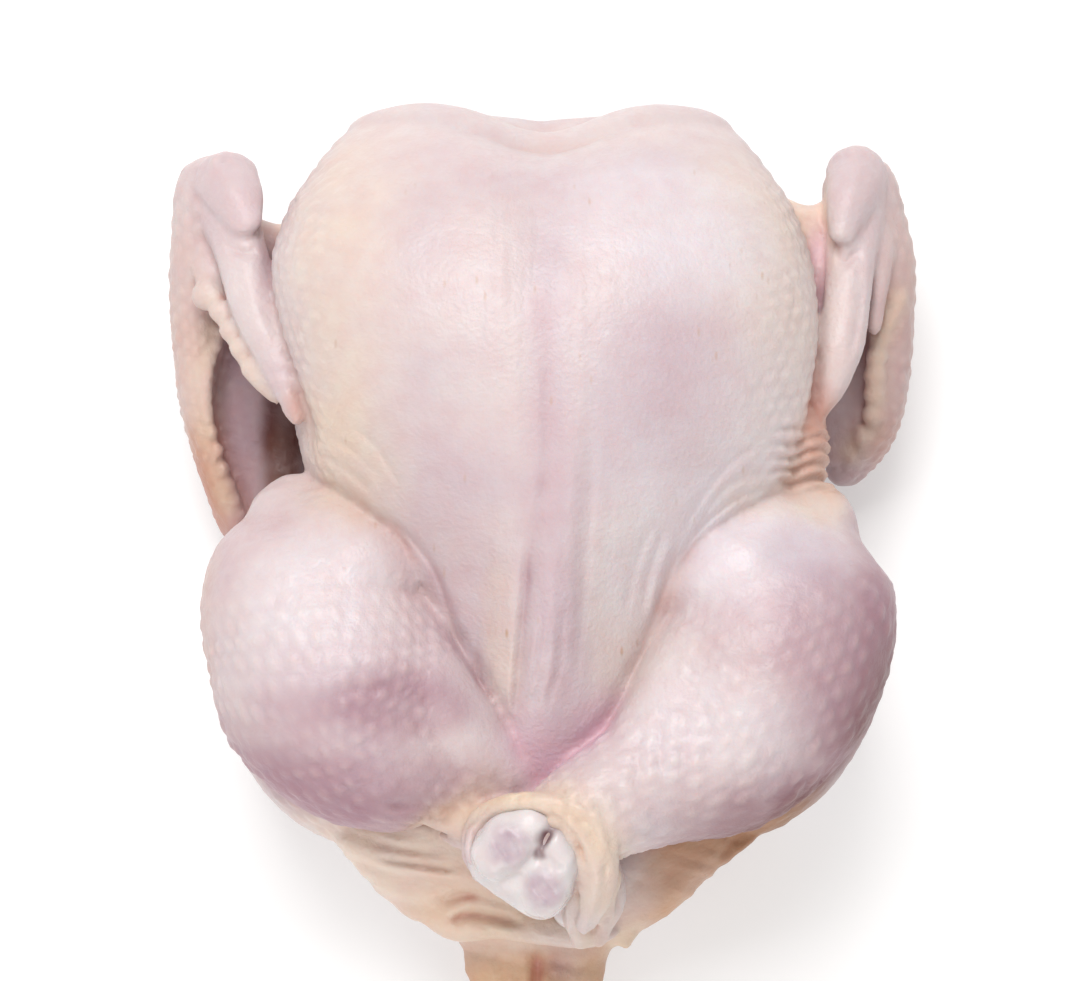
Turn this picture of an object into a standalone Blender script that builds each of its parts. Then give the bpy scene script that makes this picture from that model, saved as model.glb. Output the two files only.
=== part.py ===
"""A raw oven-ready chicken lying on its back, neck end towards +Y, tail towards -Y, legs crossed at the hocks.

The skin-covered bird is one solid: trunk, wings, thighs, drumsticks and tail are lofted one by one, fused, eased where
the skin runs from one into the next, creased and folded along lines drawn on it, and pressed flat where it rests.
Each drumstick ends in a bare joint, which is a piece of its own in a socket of the skin.
Sizes are in millimetres up to the very end, where each mesh is brought to metres.
"""

import math

import bpy
import numpy as np
from mathutils import Matrix

MM = 0.001

# The trunk. Each row is a cross-section: place along the bird, half width, height of the top, height where
# it is widest, height of the underside, squareness of the upper half, how far it leans to the right.
TRUNK_ROWS = (
    (-102, 18, 38, 27, 14, 2.3, 0),
    (-97, 27, 44, 28, 9, 2.2, 0),
    (-90, 37, 49, 28, 4, 2.1, 0),
    (-79, 48, 56, 29, 0, 1.9, 0),
    (-68, 55, 63, 32, -2, 1.6, 0),
    (-50, 50, 74, 36, -3, 1.3, 0),
    (-30, 47, 89, 42, -3, 1.2, 0.5),
    (-8, 54, 100.5, 48, -3, 1.25, 2),
    (14, 64, 107, 52, -3, 1.55, 3),
    (38, 69.5, 109.5, 54, -3, 2.0, 2.5),
    (60, 73, 109, 55, -1, 2.3, 1),
    (78, 72.5, 104, 55, 2, 2.4, 0),
    (92, 68, 97, 54, 7, 2.4, 0),
    (103, 61.5, 88, 52, 13, 2.4, 0),
    (111, 56, 78.5, 50, 19, 2.4, 0),
    (115.5, 52, 71, 48, 24, 2.4, 0),
)
UNDERSIDE_SQUARENESS = 2.4
TAIL_END_LENGTH = 5.0
NECK_END_LENGTH = 6.5
NOTCH = (6.5, 14.0, 88.0, 30.0)  # between the breast lobes: depth, half width, where it starts, its length
VALLEY = (3.2, 11.0, 0.9, 60.0)  # along the keel: depth at the neck end, half width, depth at the tail end, length
HAND_DENTS = (  # where the tip of each wing lies in the side of the breast: places, half width, depth
    (((-76, 68, 60), (-71, 56, 63), (-67, 46, 65), (-62, 34, 66)), 8.0, 3.6),
    (((79, 72, 58), (77, 60, 60), (75, 48, 61), (72, 37, 60)), 8.0, 3.0),
)

# A limb is a row of (x, y, z) places and a row of (half width, half height) sizes at even steps along it.
LEFT_THIGH = (
    ((-36, -62, 29), (-52, -45, 30), (-62, -22, 34), (-67, 2, 44)),
    ((20, 20), (28, 27), (27, 28), (13, 16)),
)
RIGHT_THIGH = (
    ((37, -60, 29), (54, -43, 30), (64, -21, 34), (69, 2, 44)),
    ((20, 20), (28, 27), (28, 28), (13, 16)),
)
LEFT_DRUMSTICK = (
    (
        (-67.5, 9, 54), (-68.5, -1, 56), (-65.6, -10, 59), (-61, -19, 61), (-55, -31, 63), (-48.5, -41, 63.5),
        (-43, -48, 63.5), (-34.7, -54, 63.5), (-25.8, -57, 63), (-15.7, -60.5, 62), (-3.7, -70, 60), (6, -82, 58),
    ),
    (
        (12, 13), (21, 20), (27, 24), (30, 27), (33, 29), (31, 28),
        (28, 26), (23, 22), (17, 17), (13, 13), (12, 11), (10, 9),
    ),
)
RIGHT_DRUMSTICK = (
    (
        (70, 8, 54), (68.5, -2, 57), (66.7, -13.4, 60), (61, -26.2, 63), (54.2, -38.6, 65), (45, -50.4, 67.5),
        (30, -58, 71), (16, -65, 75), (8.5, -70, 76.5), (3, -75, 77),
    ),
    (
        (12.5, 13), (21.5, 21), (28.5, 27), (31.7, 29), (30, 28), (24.5, 24),
        (18.8, 19), (15, 15.5), (15, 14), (15, 12),
    ),
)
SLEEVE_BAND = (((-28, -67, 64), (-19, -69, 68), (-8, -71, 76)), ((2.5, 2), (5, 2.5), (8, 5)))
SLEEVE_CUFF = (
    (
        (-18, -84, 72), (-19.5, -76, 75), (-15.5, -67.5, 79), (-6, -64.5, 83), (4, -68, 85), (11.5, -77, 83), (12, -88, 76),
    ),
    ((1.6, 3), (2, 3), (2.6, 4), (3, 5), (3.6, 6), (5, 6), (4, 5)),
)
LEFT_LEG_ROLL = (((14.5, -80, 63), (16, -89, 60), (13.5, -97, 56)), ((5, 5), (5.4, 5), (4, 4)))
LEFT_LEG_TUBE = (((7, -86, 62), (8.5, -93, 60), (11, -98.5, 56)), ((5, 4), (4.2, 3.6), (3.6, 3.4)))

LEFT_UPPER_WING = (
    ((-58, 88, 36), (-70, 68, 25), (-79, 44, 16), (-83, 22, 13)),
    ((13, 12), (13, 9), (13, 7), (8, 6)),
)
RIGHT_UPPER_WING = (
    ((60, 88, 36), (71, 68, 25), (78, 49, 17), (81, 36, 14)),
    ((13, 12), (12, 9), (12, 8), (9, 7)),
)
LEFT_FOREARM = (
    ((-88.5, 99.5, 42), (-92, 80, 36), (-93.6, 62, 30), (-94.3, 44, 25), (-90, 28, 20), (-85, 15, 16)),
    ((11.5, 11), (9.5, 12.5), (7.4, 13), (4.6, 13), (4.4, 12), (5, 10)),
)
RIGHT_FOREARM = (
    ((85, 100.5, 42), (90.5, 82, 37), (93, 65, 31), (92.3, 50, 27), (90, 38, 22), (83.5, 30.5, 16)),
    ((10.5, 10.5), (9.5, 12), (7, 12), (6.4, 12), (5.8, 11), (6, 9)),
)
LEFT_HAND = (
    ((-86, 98, 47), (-81, 83, 56), (-77.3, 68, 60.5), (-72.7, 57, 63), (-68.7, 48, 65), (-64.8, 38, 66)),
    ((9, 8), (6.5, 5.5), (6.7, 5), (5, 4.6), (3.4, 3.6), (1.6, 2)),
)
RIGHT_HAND = (
    ((84, 100, 47), (81.5, 80, 56), (79.1, 61, 60), (77, 51, 61), (75, 44, 61), (73.3, 39, 60.5)),
    ((9, 8), (6.5, 5.5), (6.4, 5), (5.4, 4.5), (4, 3.6), (2, 2.4)),
)
LEFT_THUMB = (((-85.5, 101, 50), (-82.5, 95, 57), (-80, 88.5, 60)), ((9, 8), (7.2, 5.5), (4.8, 3)))
RIGHT_THUMB = (((84, 103, 49), (81.5, 93, 58), (79.5, 84, 61)), ((8.5, 8), (6.5, 5.5), (4, 2.8)))
LEFT_FINGER = (((-91, 92, 45), (-88.5, 80, 48), (-85, 66, 52)), ((5, 5), (5, 4), (2.5, 3)))
RIGHT_FINGER = (((89, 92, 46), (89.6, 80, 50), (88, 63, 50)), ((5, 5), (3.5, 4), (2, 3)))
LEFT_WEB = (((-60, 86, 42), (-72, 85, 38), (-86, 90, 37)), ((10, 7), (7, 5), (7, 6)))
RIGHT_WEB = (((60, 88, 42), (72, 88, 39), (86, 93, 38)), ((11, 7), (9, 4), (9, 6)))

TAIL = (
    ((-2.5, -88, 26), (-2.5, -102, 25.5), (-2.5, -112, 25), (-3, -121, 25)),
    ((24, 14), (20, 11), (17.5, 9.5), (10, 7)),
)
VENT_LIP = (
    ((-32, -91, 38), (-23, -95.5, 41), (-12, -95.5, 43), (0, -97, 44), (11, -98.5, 43), (17, -97, 40)),
    ((4.5, 4), (5, 4.5), (4.5, 4.5), (4.5, 4.5), (4, 4), (3, 3)),
)
FLANK_RIM = (
    ((74, -53, 34), (62, -64, 33), (48, -76, 32), (33, -87, 31), (21.5, -98, 31)),
    ((4, 5), (3.2, 5), (3.2, 5), (3.2, 5), (3, 4)),
)
FLANK_TAB = (((20, -96, 33), (21.5, -101, 32)), ((3.5, 2.5), (1.6, 1.4)))
NECK_SKIN = (
    ((-42, 106, 27), (-24, 114, 22), (0, 115, 19), (24, 114, 22), (42, 106, 27)),
    ((6, 8), (6.5, 9), (6.5, 9), (6.5, 9), (6, 8)),
)
BREAST_SIDE_FOLD = (((62, 46, 54), (67.5, 32, 53), (66, 18, 52)), ((7, 12), (8, 15), (7, 12)))

# Quill stumps of the wings: spheres at even steps along a line, (places, count, radius).
QUILLS = (
    (((-93, 78, 46), (-88.6, 69.4, 54), (-84, 61, 57), (-78.5, 50.5, 59.5), (-71.8, 43.5, 61)), 11, 2.7),
    (((-88.5, 64.5, 36), (-90.4, 54, 36.5), (-91.6, 44, 36), (-88.5, 30, 31), (-84.5, 17, 25)), 12, 2.3),
    (((95, 71, 40), (89.5, 61, 39), (88.3, 51, 38.5), (87.5, 41, 34), (82.5, 31, 24)), 12, 2.6),
)

# Ease the skin: capsules (from, to, radius) inside which the surface is smoothed.
EASED = (
    ((-40, -60, 22), (-66, -4, 30), 26),
    ((40, -58, 22), (67, -4, 30), 26),
    ((-80, -52, 44), (-86, 2, 46), 16),
    ((82, -50, 44), (90, 2, 46), 16),
    ((-63, 86, 42), (-66, 88, 30), 11),
    ((63, 86, 42), (66, 88, 30), 11),
    ((-22, -92, 20), (18, -92, 20), 14),
    ((-86, 100, 40), (-88, 92, 40), 12),
    ((86, 100, 40), (89, 92, 40), 12),
    ((68, 46, 54), (68, 22, 46), 12),
    ((-68, 18, 34), (-66, 30, 34), 10),
    ((68, 16, 34), (66, 30, 34), 10),
)
SMOOTH_ALL = 3
SMOOTH_EASED = 26

# Lines drawn on the skin from above: (places, half width, height; below zero is a groove).
LINES = (
    (((0, 108), (1, 60), (2, 10), (3, -30), (2, -50)), 5.0, -1.2),
    (((-33, -5), (-26, -22), (-18, -37), (-8, -49), (-1, -57)), 4.5, -3.0),
    (((38, -2), (32, -11), (27, -26), (20, -38), (8, -51), (1, -58)), 4.5, -3.0),
    (((-40, -69), (-28, -68.5), (-18, -71.5)), 2.6, -2.4),
    (((-46, -72), (-32, -73.5), (-20, -76)), 2.4, 1.4),
    (((-44, -77.4), (-28, -81), (-14, -83.5)), 2.2, -1.6),
    (((-30, -91), (-23, -88.8), (-15, -88.8), (-6, -90), (2, -94)), 3.0, -3.0),
    (((-24, -98), (-18, -95)), 2.0, -1.2),
    (((66, -66), (50, -73), (36, -81), (24, -91)), 7.0, -6.0),
    (((-3, -101), (-2, -106), (-3, -121)), 2.6, -2.6),
    (((58, 26), (66, 24), (74, 22)), 2.2, -1.4),
    (((58, 33), (66, 31), (74, 29)), 2.2, -1.2),
)

# The bare joints: centres and radii of the two rounded heads, the bone behind them, and the socket's clearance.
RIGHT_HEADS = (((-9.4, -77.4, 84.5), 9.6), ((0.8, -85.8, 83), 9.2))
RIGHT_BRIDGE = (((-8, -78.5, 82), (0, -84.8, 81)), ((7, 7.5), (7, 7.5)))
RIGHT_BONE = (((-4, -81, 79), (8, -68, 77)), ((8.5, 8), (6, 6)))
LEFT_HEADS = (((8, -91, 51), 6.0), ((14, -88.5, 51), 5.6))
LEFT_BRIDGE = (((9, -90.5, 51), (13, -89, 51)), ((5, 5), (5, 5)))
LEFT_BONE = (((10.5, -88.5, 53), (5, -79, 57)), ((6, 5.5), (4.5, 4.5)))
SOCKET_GAP = 0.45

VOXEL = 1.9
JOINT_VOXEL = 1.0
SKIN_TRIANGLES = 9600
JOINT_TRIANGLES = 640


def along(places, count):
    """A smooth line through the places: a Catmull-Rom spline read at even steps of its parameter."""
    places = np.array(places, float)
    held = np.vstack([2 * places[0] - places[1], places, 2 * places[-1] - places[-2]])
    spans = len(places) - 1
    t = np.linspace(0, spans, count)
    i = np.minimum(t.astype(int), spans - 1)
    u = (t - i)[:, None]
    a, b, c, d = held[i], held[i + 1], held[i + 2], held[i + 3]
    return 0.5 * (2 * b + (c - a) * u + (2 * a - 5 * b + 4 * c - d) * u**2 + (3 * b - a - 3 * c + d) * u**3)


def tube_mesh(rings):
    """Vertices and faces of a closed skin over rings of points, with a point at the middle of each end."""
    count, sides, _ = rings.shape
    vertices = np.vstack([rings.reshape(-1, 3), rings[0].mean(0), rings[-1].mean(0)])
    faces = []
    for i in range(count - 1):
        for j in range(sides):
            k = (j + 1) % sides
            faces.append((i * sides + j, i * sides + k, (i + 1) * sides + k, (i + 1) * sides + j))
    for j in range(sides):
        k = (j + 1) % sides
        faces.append((count * sides, k, j))
        faces.append((count * sides + 1, (count - 1) * sides + j, (count - 1) * sides + k))
    return vertices, faces


def limb(places, sizes, grow=0.0, steps=28, sides=32, cap=6):
    """A tube along a smooth line, wider or narrower as the sizes say, with both ends rounded."""
    middle = along(places, steps)
    half = np.maximum(along(sizes, steps), 0.5) + grow
    tangent = np.gradient(middle, axis=0)
    tangent /= np.linalg.norm(tangent, axis=1)[:, None]
    side = np.cross(tangent, (0.0, 0.0, 1.0))
    side /= np.linalg.norm(side, axis=1)[:, None]
    lift = np.cross(side, tangent)
    turn = np.linspace(0, 0.5 * math.pi, cap + 1)[1:-1]

    def held(values):
        return np.vstack([np.repeat(values[:1], cap - 1, 0), values, np.repeat(values[-1:], cap - 1, 0)])

    reach = np.zeros(steps + 2 * (cap - 1))
    reach[: cap - 1] = -np.sin(turn)[::-1] * half[0].mean()
    reach[-(cap - 1) :] = np.sin(turn) * half[-1].mean()
    shrink = np.ones(len(reach))
    shrink[: cap - 1] = np.cos(turn)[::-1]
    shrink[-(cap - 1) :] = np.cos(turn)
    centre = held(middle) + held(tangent) * reach[:, None]
    half = held(half) * shrink[:, None]
    angle = np.linspace(0, 2 * math.pi, sides, endpoint=False)
    rings = (
        centre[:, None]
        + held(side)[:, None] * (half[:, :1] * np.cos(angle))[..., None]
        + held(lift)[:, None] * (half[:, 1:] * np.sin(angle))[..., None]
    )
    return tube_mesh(rings)


def ball(centre, radius, sides=16, rows=10):
    """A sphere, as rings round the vertical through its centre."""
    up = np.linspace(-0.5 * math.pi, 0.5 * math.pi, rows + 2)[1:-1]
    angle = np.linspace(0, 2 * math.pi, sides, endpoint=False)
    rings = np.empty((rows, sides, 3))
    rings[..., 0] = centre[0] + radius * np.cos(up)[:, None] * np.cos(angle)
    rings[..., 1] = centre[1] + radius * np.cos(up)[:, None] * np.sin(angle)
    rings[..., 2] = centre[2] + radius * np.sin(up)[:, None]
    return tube_mesh(rings)


def trunk(steps=90, sides=80, cap=7):
    """The trunk: superellipses along Y, closed at the neck and at the tail by rounded ends."""
    rows = along(TRUNK_ROWS, steps)
    turn = np.linspace(0, 0.5 * math.pi, cap + 1)[1:-1]
    ends = []
    for row, length, sign in ((rows[0], TAIL_END_LENGTH, -1), (rows[-1], NECK_END_LENGTH, 1)):
        end = np.repeat(row[None], len(turn), 0)
        shrink = np.cos(turn) ** 0.6
        end[:, 0] += sign * length * np.sin(turn)
        end[:, 1] *= shrink
        end[:, 2] = row[3] + (row[2] - row[3]) * shrink
        end[:, 4] = row[3] + (row[4] - row[3]) * shrink
        ends.append(end)
    rows = np.vstack([ends[0][::-1], rows, ends[1]])
    angle = np.linspace(0, 2 * math.pi, sides, endpoint=False)
    above = np.sin(angle)[None] > 0
    power = 2 / np.where(above, rows[:, 5:6], UNDERSIDE_SQUARENESS)
    across = np.sign(np.cos(angle)) * np.abs(np.cos(angle)) ** power
    upward = np.sign(np.sin(angle)) * np.abs(np.sin(angle)) ** power
    rise = np.where(above, rows[:, 2:3] - rows[:, 3:4], rows[:, 3:4] - rows[:, 4:5])
    x = rows[:, 6:7] + rows[:, 1:2] * across
    y = np.repeat(rows[:, :1], sides, 1)
    z = rows[:, 3:4] + rise * upward
    depth, width, start, length = NOTCH
    into = np.clip((y - start) / length, 0, 1) ** 2 * np.clip((z - 20) / 30, 0, 1)
    y = y - depth * np.exp(-((x / width) ** 2)) * into
    deep, width, shallow, length = VALLEY
    fade = np.clip((y - 110 + length) / length, 0, 1)
    z = z - (shallow + (deep - shallow) * fade) * np.exp(-((x / width) ** 2)) * np.clip((z - 50) / 30, 0, 1)
    points = np.stack([x, y, z], axis=-1)[:, ::-1]
    for places, width, depth in HAND_DENTS:
        away, _ = to_line(points.reshape(-1, 3), along(places, 12))
        press = depth * np.exp(-((away / width) ** 2)).reshape(points.shape[:2])
        points[..., 0] -= np.sign(points[..., 0]) * press
    return tube_mesh(points)


def fused(name, shells, voxel):
    """One closed mesh round all the shells, by a voxel remesh."""
    vertices, faces, start = [], [], 0
    for points, rings in shells:
        vertices.append(points)
        faces += [tuple(start + i for i in face) for face in rings]
        start += len(points)
    mesh = bpy.data.meshes.new(name)
    mesh.from_pydata(np.vstack(vertices).tolist(), [], faces)
    thing = bpy.data.objects.new(name, mesh)
    bpy.context.scene.collection.objects.link(thing)
    fuse = thing.modifiers.new("fuse", "REMESH")
    fuse.mode = "VOXEL"
    fuse.voxel_size = voxel
    fuse.adaptivity = 0.0
    keep_modified(thing)
    return thing


def keep_modified(thing):
    """The object's mesh becomes what its modifiers make of it."""
    graph = bpy.context.evaluated_depsgraph_get()
    made = bpy.data.meshes.new_from_object(thing.evaluated_get(graph))
    thing.modifiers.clear()
    thing.data = made


def points_of(thing):
    points = np.empty(len(thing.data.vertices) * 3)
    thing.data.vertices.foreach_get("co", points)
    return points.reshape(-1, 3)


def put_points(thing, points):
    thing.data.vertices.foreach_set("co", points.ravel())
    thing.data.update()


def normals_of(thing):
    normals = np.empty(len(thing.data.vertices) * 3)
    thing.data.vertices.foreach_get("normal", normals)
    return normals.reshape(-1, 3)


def smooth(thing, weight, times):
    """Moves each vertex towards the middle of its neighbours, as far as its weight says."""
    ends = np.empty(len(thing.data.edges) * 2, int)
    thing.data.edges.foreach_get("vertices", ends)
    a, b = ends.reshape(-1, 2).T
    points = points_of(thing)
    total = len(points)
    share = 1 / np.maximum(np.bincount(a, minlength=total) + np.bincount(b, minlength=total), 1)
    for _ in range(times):
        around = np.empty_like(points)
        for axis in range(3):
            sums = np.bincount(a, points[b, axis], total) + np.bincount(b, points[a, axis], total)
            around[:, axis] = sums * share
        points += (around - points) * weight[:, None]
    put_points(thing, points)


def to_line(points, line):
    """Distance of each point to a line of short pieces, and how far along the line that is, from 0 to 1."""
    nearest = np.full(len(points), np.inf)
    place = np.zeros(len(points))
    for i in range(len(line) - 1):
        step = line[i + 1] - line[i]
        t = np.clip((points - line[i]) @ step / (step @ step), 0, 1)
        away = np.linalg.norm(points - line[i] - t[:, None] * step, axis=1)
        near = away < nearest
        nearest = np.where(near, away, nearest)
        place = np.where(near, (i + t) / (len(line) - 1), place)
    return nearest, place


def eased_weight(points):
    weight = np.zeros(len(points))
    for start, end, radius in EASED:
        away, _ = to_line(points, np.array([start, end], float))
        weight = np.maximum(weight, np.clip(1.6 * (1 - away / radius), 0, 1))
    return 0.5 * weight


def draw_lines(thing, lines):
    """Presses a groove into the skin, or raises a fold, along each line as it falls on the skin from above."""
    points = points_of(thing)
    for places, width, height in lines:
        flat = along(places, 24)
        put_points(thing, points)
        normals = normals_of(thing)
        upper = normals[:, 2] > 0.15
        line = np.empty((len(flat), 3))
        for i, spot in enumerate(flat):
            near = upper & (np.abs(points[:, :2] - spot).max(1) < 2.0) & (points[:, 2] > 20)
            line[i] = (*spot, points[near, 2].min() if near.any() else line[max(i - 1, 0), 2])
        for _ in range(4):
            line[1:-1, 2] = 0.5 * line[1:-1, 2] + 0.25 * (line[:-2, 2] + line[2:, 2])
        away, place = to_line(points, line)
        fade = np.clip(4 * place, 0, 1) * np.clip(4 * (1 - place), 0, 1)
        push = height * np.exp(-((away / width) ** 2)) * fade
        points[:, 2] += push * np.maximum(normals[:, 2], 0.0)
    put_points(thing, points)


def reduce(thing, triangles):
    """Fewer triangles, by collapsing the edges that matter least."""
    whole = thing.modifiers.new("triangles", "TRIANGULATE")
    whole.quad_method = "SHORTEST_DIAGONAL"
    keep_modified(thing)
    fewer = thing.modifiers.new("fewer", "DECIMATE")
    fewer.decimate_type = "COLLAPSE"
    fewer.use_collapse_triangulate = True
    fewer.ratio = min(1.0, triangles / len(thing.data.polygons))
    keep_modified(thing)


def joint(name, heads, bridge, bone, grow):
    """A bare joint: two rounded heads, the cartilage between them and the start of the bone behind them."""
    shells = [ball(centre, radius + grow) for centre, radius in heads]
    shells += [limb(*bridge, grow=grow), limb(*bone, grow=grow)]
    thing = fused(name, shells, JOINT_VOXEL)
    smooth(thing, np.full(len(thing.data.vertices), 0.5), 4)
    reduce(thing, JOINT_TRIANGLES)
    return thing


def with_material(thing, name, colour, roughness):
    material = bpy.data.materials.new(name)
    material.use_nodes = True
    shader = material.node_tree.nodes["Principled BSDF"]
    shader.inputs["Base Color"].default_value = (*colour, 1.0)
    shader.inputs["Roughness"].default_value = roughness
    thing.data.materials.clear()
    thing.data.materials.append(material)


def main():
    for old in list(bpy.data.objects):
        bpy.data.objects.remove(old)
    limbs = (
        LEFT_THIGH, RIGHT_THIGH, LEFT_DRUMSTICK, RIGHT_DRUMSTICK, SLEEVE_BAND, SLEEVE_CUFF, LEFT_LEG_ROLL,
        LEFT_LEG_TUBE, LEFT_UPPER_WING, RIGHT_UPPER_WING, LEFT_FOREARM, RIGHT_FOREARM, LEFT_HAND, RIGHT_HAND,
        LEFT_THUMB, RIGHT_THUMB, LEFT_FINGER, RIGHT_FINGER, LEFT_WEB, RIGHT_WEB, TAIL, VENT_LIP, FLANK_RIM, FLANK_TAB,
        BREAST_SIDE_FOLD, NECK_SKIN,
    )
    shells = [trunk()] + [limb(*one) for one in limbs]
    for places, count, radius in QUILLS:
        shells += [ball(spot, radius) for spot in along(places, count)]
    bird = fused("chicken", shells, VOXEL)
    smooth(bird, np.full(len(bird.data.vertices), 0.5), SMOOTH_ALL)
    smooth(bird, eased_weight(points_of(bird)), SMOOTH_EASED)
    draw_lines(bird, LINES)
    points = points_of(bird)
    points[:, 2] = np.maximum(points[:, 2], 0.0)
    put_points(bird, points)
    print("skin", len(bird.data.polygons), "quads")
    reduce(bird, SKIN_TRIANGLES)

    right = (RIGHT_HEADS, RIGHT_BRIDGE, RIGHT_BONE)
    left = (LEFT_HEADS, LEFT_BRIDGE, LEFT_BONE)
    for name, sizes in (("knuckle_right", right), ("knuckle_left", left)):
        knuckle = joint(name, *sizes, 0.0)
        with_material(knuckle, "cartilage_" + name, (0.72, 0.66, 0.68), 0.35)
        socket = joint("socket", *sizes, SOCKET_GAP)
        cut = bird.modifiers.new("socket", "BOOLEAN")
        cut.operation = "DIFFERENCE"
        cut.solver = "EXACT"
        cut.object = socket
        keep_modified(bird)
        bpy.data.objects.remove(socket)
    with_material(bird, "skin", (0.78, 0.62, 0.6), 0.45)

    points = points_of(bird)
    low, high = points.min(0), points.max(0)
    centre = 0.5 * (low + high)
    home = Matrix.Scale(MM, 4) @ Matrix.Translation((-centre[0], -centre[1], -low[2]))
    for thing in bpy.context.scene.objects:
        thing.data.transform(home)
    print("sides", high - low)
    return centre


CENTRE = main()
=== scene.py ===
# %% [markdown]
# # A whole raw chicken, on its back
#
# An oven-ready bird lies with its breast up, its wings folded back against its sides and its drumsticks
# crossed at the hocks. Almost all of it is one piece of thin, moist skin drawn over muscle, fat and bone.
# We shape that skin in millimetres, the way a modeller in clay would: first the big volumes, then the folds
# where they meet, then the small bumps that the feathers left. Only then do we colour it.
#
# The measured frame comes first, because everything we make has to stay inside it.

import math

import bpy
import numpy as np
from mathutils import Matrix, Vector


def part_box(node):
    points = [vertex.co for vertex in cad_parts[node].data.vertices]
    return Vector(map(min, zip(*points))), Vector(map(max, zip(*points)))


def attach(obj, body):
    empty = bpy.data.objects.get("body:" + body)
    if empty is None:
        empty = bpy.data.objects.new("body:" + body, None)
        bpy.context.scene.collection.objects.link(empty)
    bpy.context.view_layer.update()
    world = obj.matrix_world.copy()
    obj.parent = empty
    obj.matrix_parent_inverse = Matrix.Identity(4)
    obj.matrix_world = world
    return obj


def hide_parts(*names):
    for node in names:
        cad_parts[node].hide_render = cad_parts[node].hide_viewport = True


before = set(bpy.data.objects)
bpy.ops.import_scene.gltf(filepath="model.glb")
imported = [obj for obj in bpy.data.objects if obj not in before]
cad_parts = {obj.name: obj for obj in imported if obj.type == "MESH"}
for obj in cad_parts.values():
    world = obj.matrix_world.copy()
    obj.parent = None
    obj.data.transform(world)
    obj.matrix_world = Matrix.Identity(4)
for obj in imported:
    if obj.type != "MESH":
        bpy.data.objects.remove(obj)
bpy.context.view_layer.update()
low_corner, high_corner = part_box("chicken")
print("frame pieces:", sorted(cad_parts))
print("the bird spans", [round(1000 * side) for side in high_corner - low_corner], "mm")

# %% [markdown]
# ## The shaping table
#
# The photograph's traced outlines are kept in millimetres around a point near the middle of the back. The
# frame has its own origin under the middle of its box, so one small shift and one scale bring a finished
# mesh home. Doing it once, at the end, keeps every number below readable as a length on a real bird.

# %% From the shaping table to the frame
MM = 0.001
TABLE_MIDDLE = np.array([-0.605, -3.887, 0.0])


def home(points):
    """Metres in the frame from millimetres on the shaping table: a shift, then a scale."""
    return (points - TABLE_MIDDLE) * MM


print("shift to the frame:", TABLE_MIDDLE, "mm")

# %% [markdown]
# ## Two soft curves
#
# Nothing on the bird starts or stops abruptly. Two short formulas do all the fading: one rises smoothly
# from 0 to 1, and the other is a bell.


# %% A smooth step and a bell
def smooth_step(t):
    """0 below zero, 1 above one, and the curve 3t^2 - 2t^3 between."""
    t = np.clip(t, 0, 1)
    return t * t * (3 - 2 * t)


def bell(away, width):
    """1 where the distance is zero, falling off as exp(-(distance / width)^2)."""
    return np.exp(-((away / width) ** 2))


print("a quarter up the step:", smooth_step(0.25), "and one width down the bell:", round(bell(1, 1), 2))

# %% [markdown]
# ## Smooth lines through a few places
#
# A leg or a wing is easiest to describe by a handful of places along its middle. A Catmull-Rom spline goes
# through all of them and never wobbles far between them. It can also carry sizes or colours instead of
# places, since it only blends rows of numbers.


# %% A smooth line through places
def along(places, count):
    """Catmull-Rom: each span is the cubic through its two ends whose slope at an end is half the step between
    the end's neighbours, read at even steps."""
    places = np.array(places, float)
    held = np.vstack([2 * places[0] - places[1], places, 2 * places[-1] - places[-2]])
    t = np.linspace(0, len(places) - 1, count)
    i = np.minimum(t.astype(int), len(places) - 2)
    u = (t - i)[:, None]
    a, b, c, d = held[i], held[i + 1], held[i + 2], held[i + 3]
    return 0.5 * (2 * b + (c - a) * u + (2 * a - 5 * b + 4 * c - d) * u**2 + (3 * b - a - 3 * c + d) * u**3)


print("a line's middle:", along([(0, 0), (10, 0), (10, 10)], 5)[2])

# %% [markdown]
# ## Surfaces as grids
#
# A closed tube is a grid of points with two parameters: how far along it we are, and how far round. The
# faces follow from the grid's row numbers alone, so one function makes them for every volume of the bird.
# Each end is closed by a fan round one more point.


# %% Faces of a grid that closes round
def closed_tube(rings):
    """Vertices and faces over rings[along, round, xyz], with a fan of triangles closing each end."""
    rows, sides, _ = rings.shape
    number = np.arange(rows * sides).reshape(rows, sides)
    turned = np.roll(number, -1, axis=1)
    quads = np.stack([number[:-1], turned[:-1], turned[1:], number[1:]], axis=-1).reshape(-1, 4)
    first, last = rows * sides, rows * sides + 1
    start_fan = np.stack([np.full(sides, first), turned[0], number[0]], axis=-1)
    end_fan = np.stack([np.full(sides, last), number[-1], turned[-1]], axis=-1)
    vertices = np.vstack([rings.reshape(-1, 3), rings[0].mean(0), rings[-1].mean(0)])
    return vertices, quads.tolist() + start_fan.tolist() + end_fan.tolist()


print("a ring of 8 over 3 rows has", len(closed_tube(np.zeros((3, 8, 3)))[1]), "faces")

# %% [markdown]
# ## A limb
#
# Thighs, drumsticks, wing bones and rolls of skin are all soft tubes: an ellipse carried along a bent line,
# swelling and narrowing as it goes, with a rounded end. The same function serves all of them, as a butcher
# would say: the bird is mostly sausages under a skin.

# %% An ellipse carried along a smooth line
CAP_ROWS = 6
THINNEST = 0.5


def end_rows(values):
    """The first and the last row repeated for the rounded ends."""
    return np.vstack([np.repeat(values[:1], CAP_ROWS, 0), values, np.repeat(values[-1:], CAP_ROWS, 0)])


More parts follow.
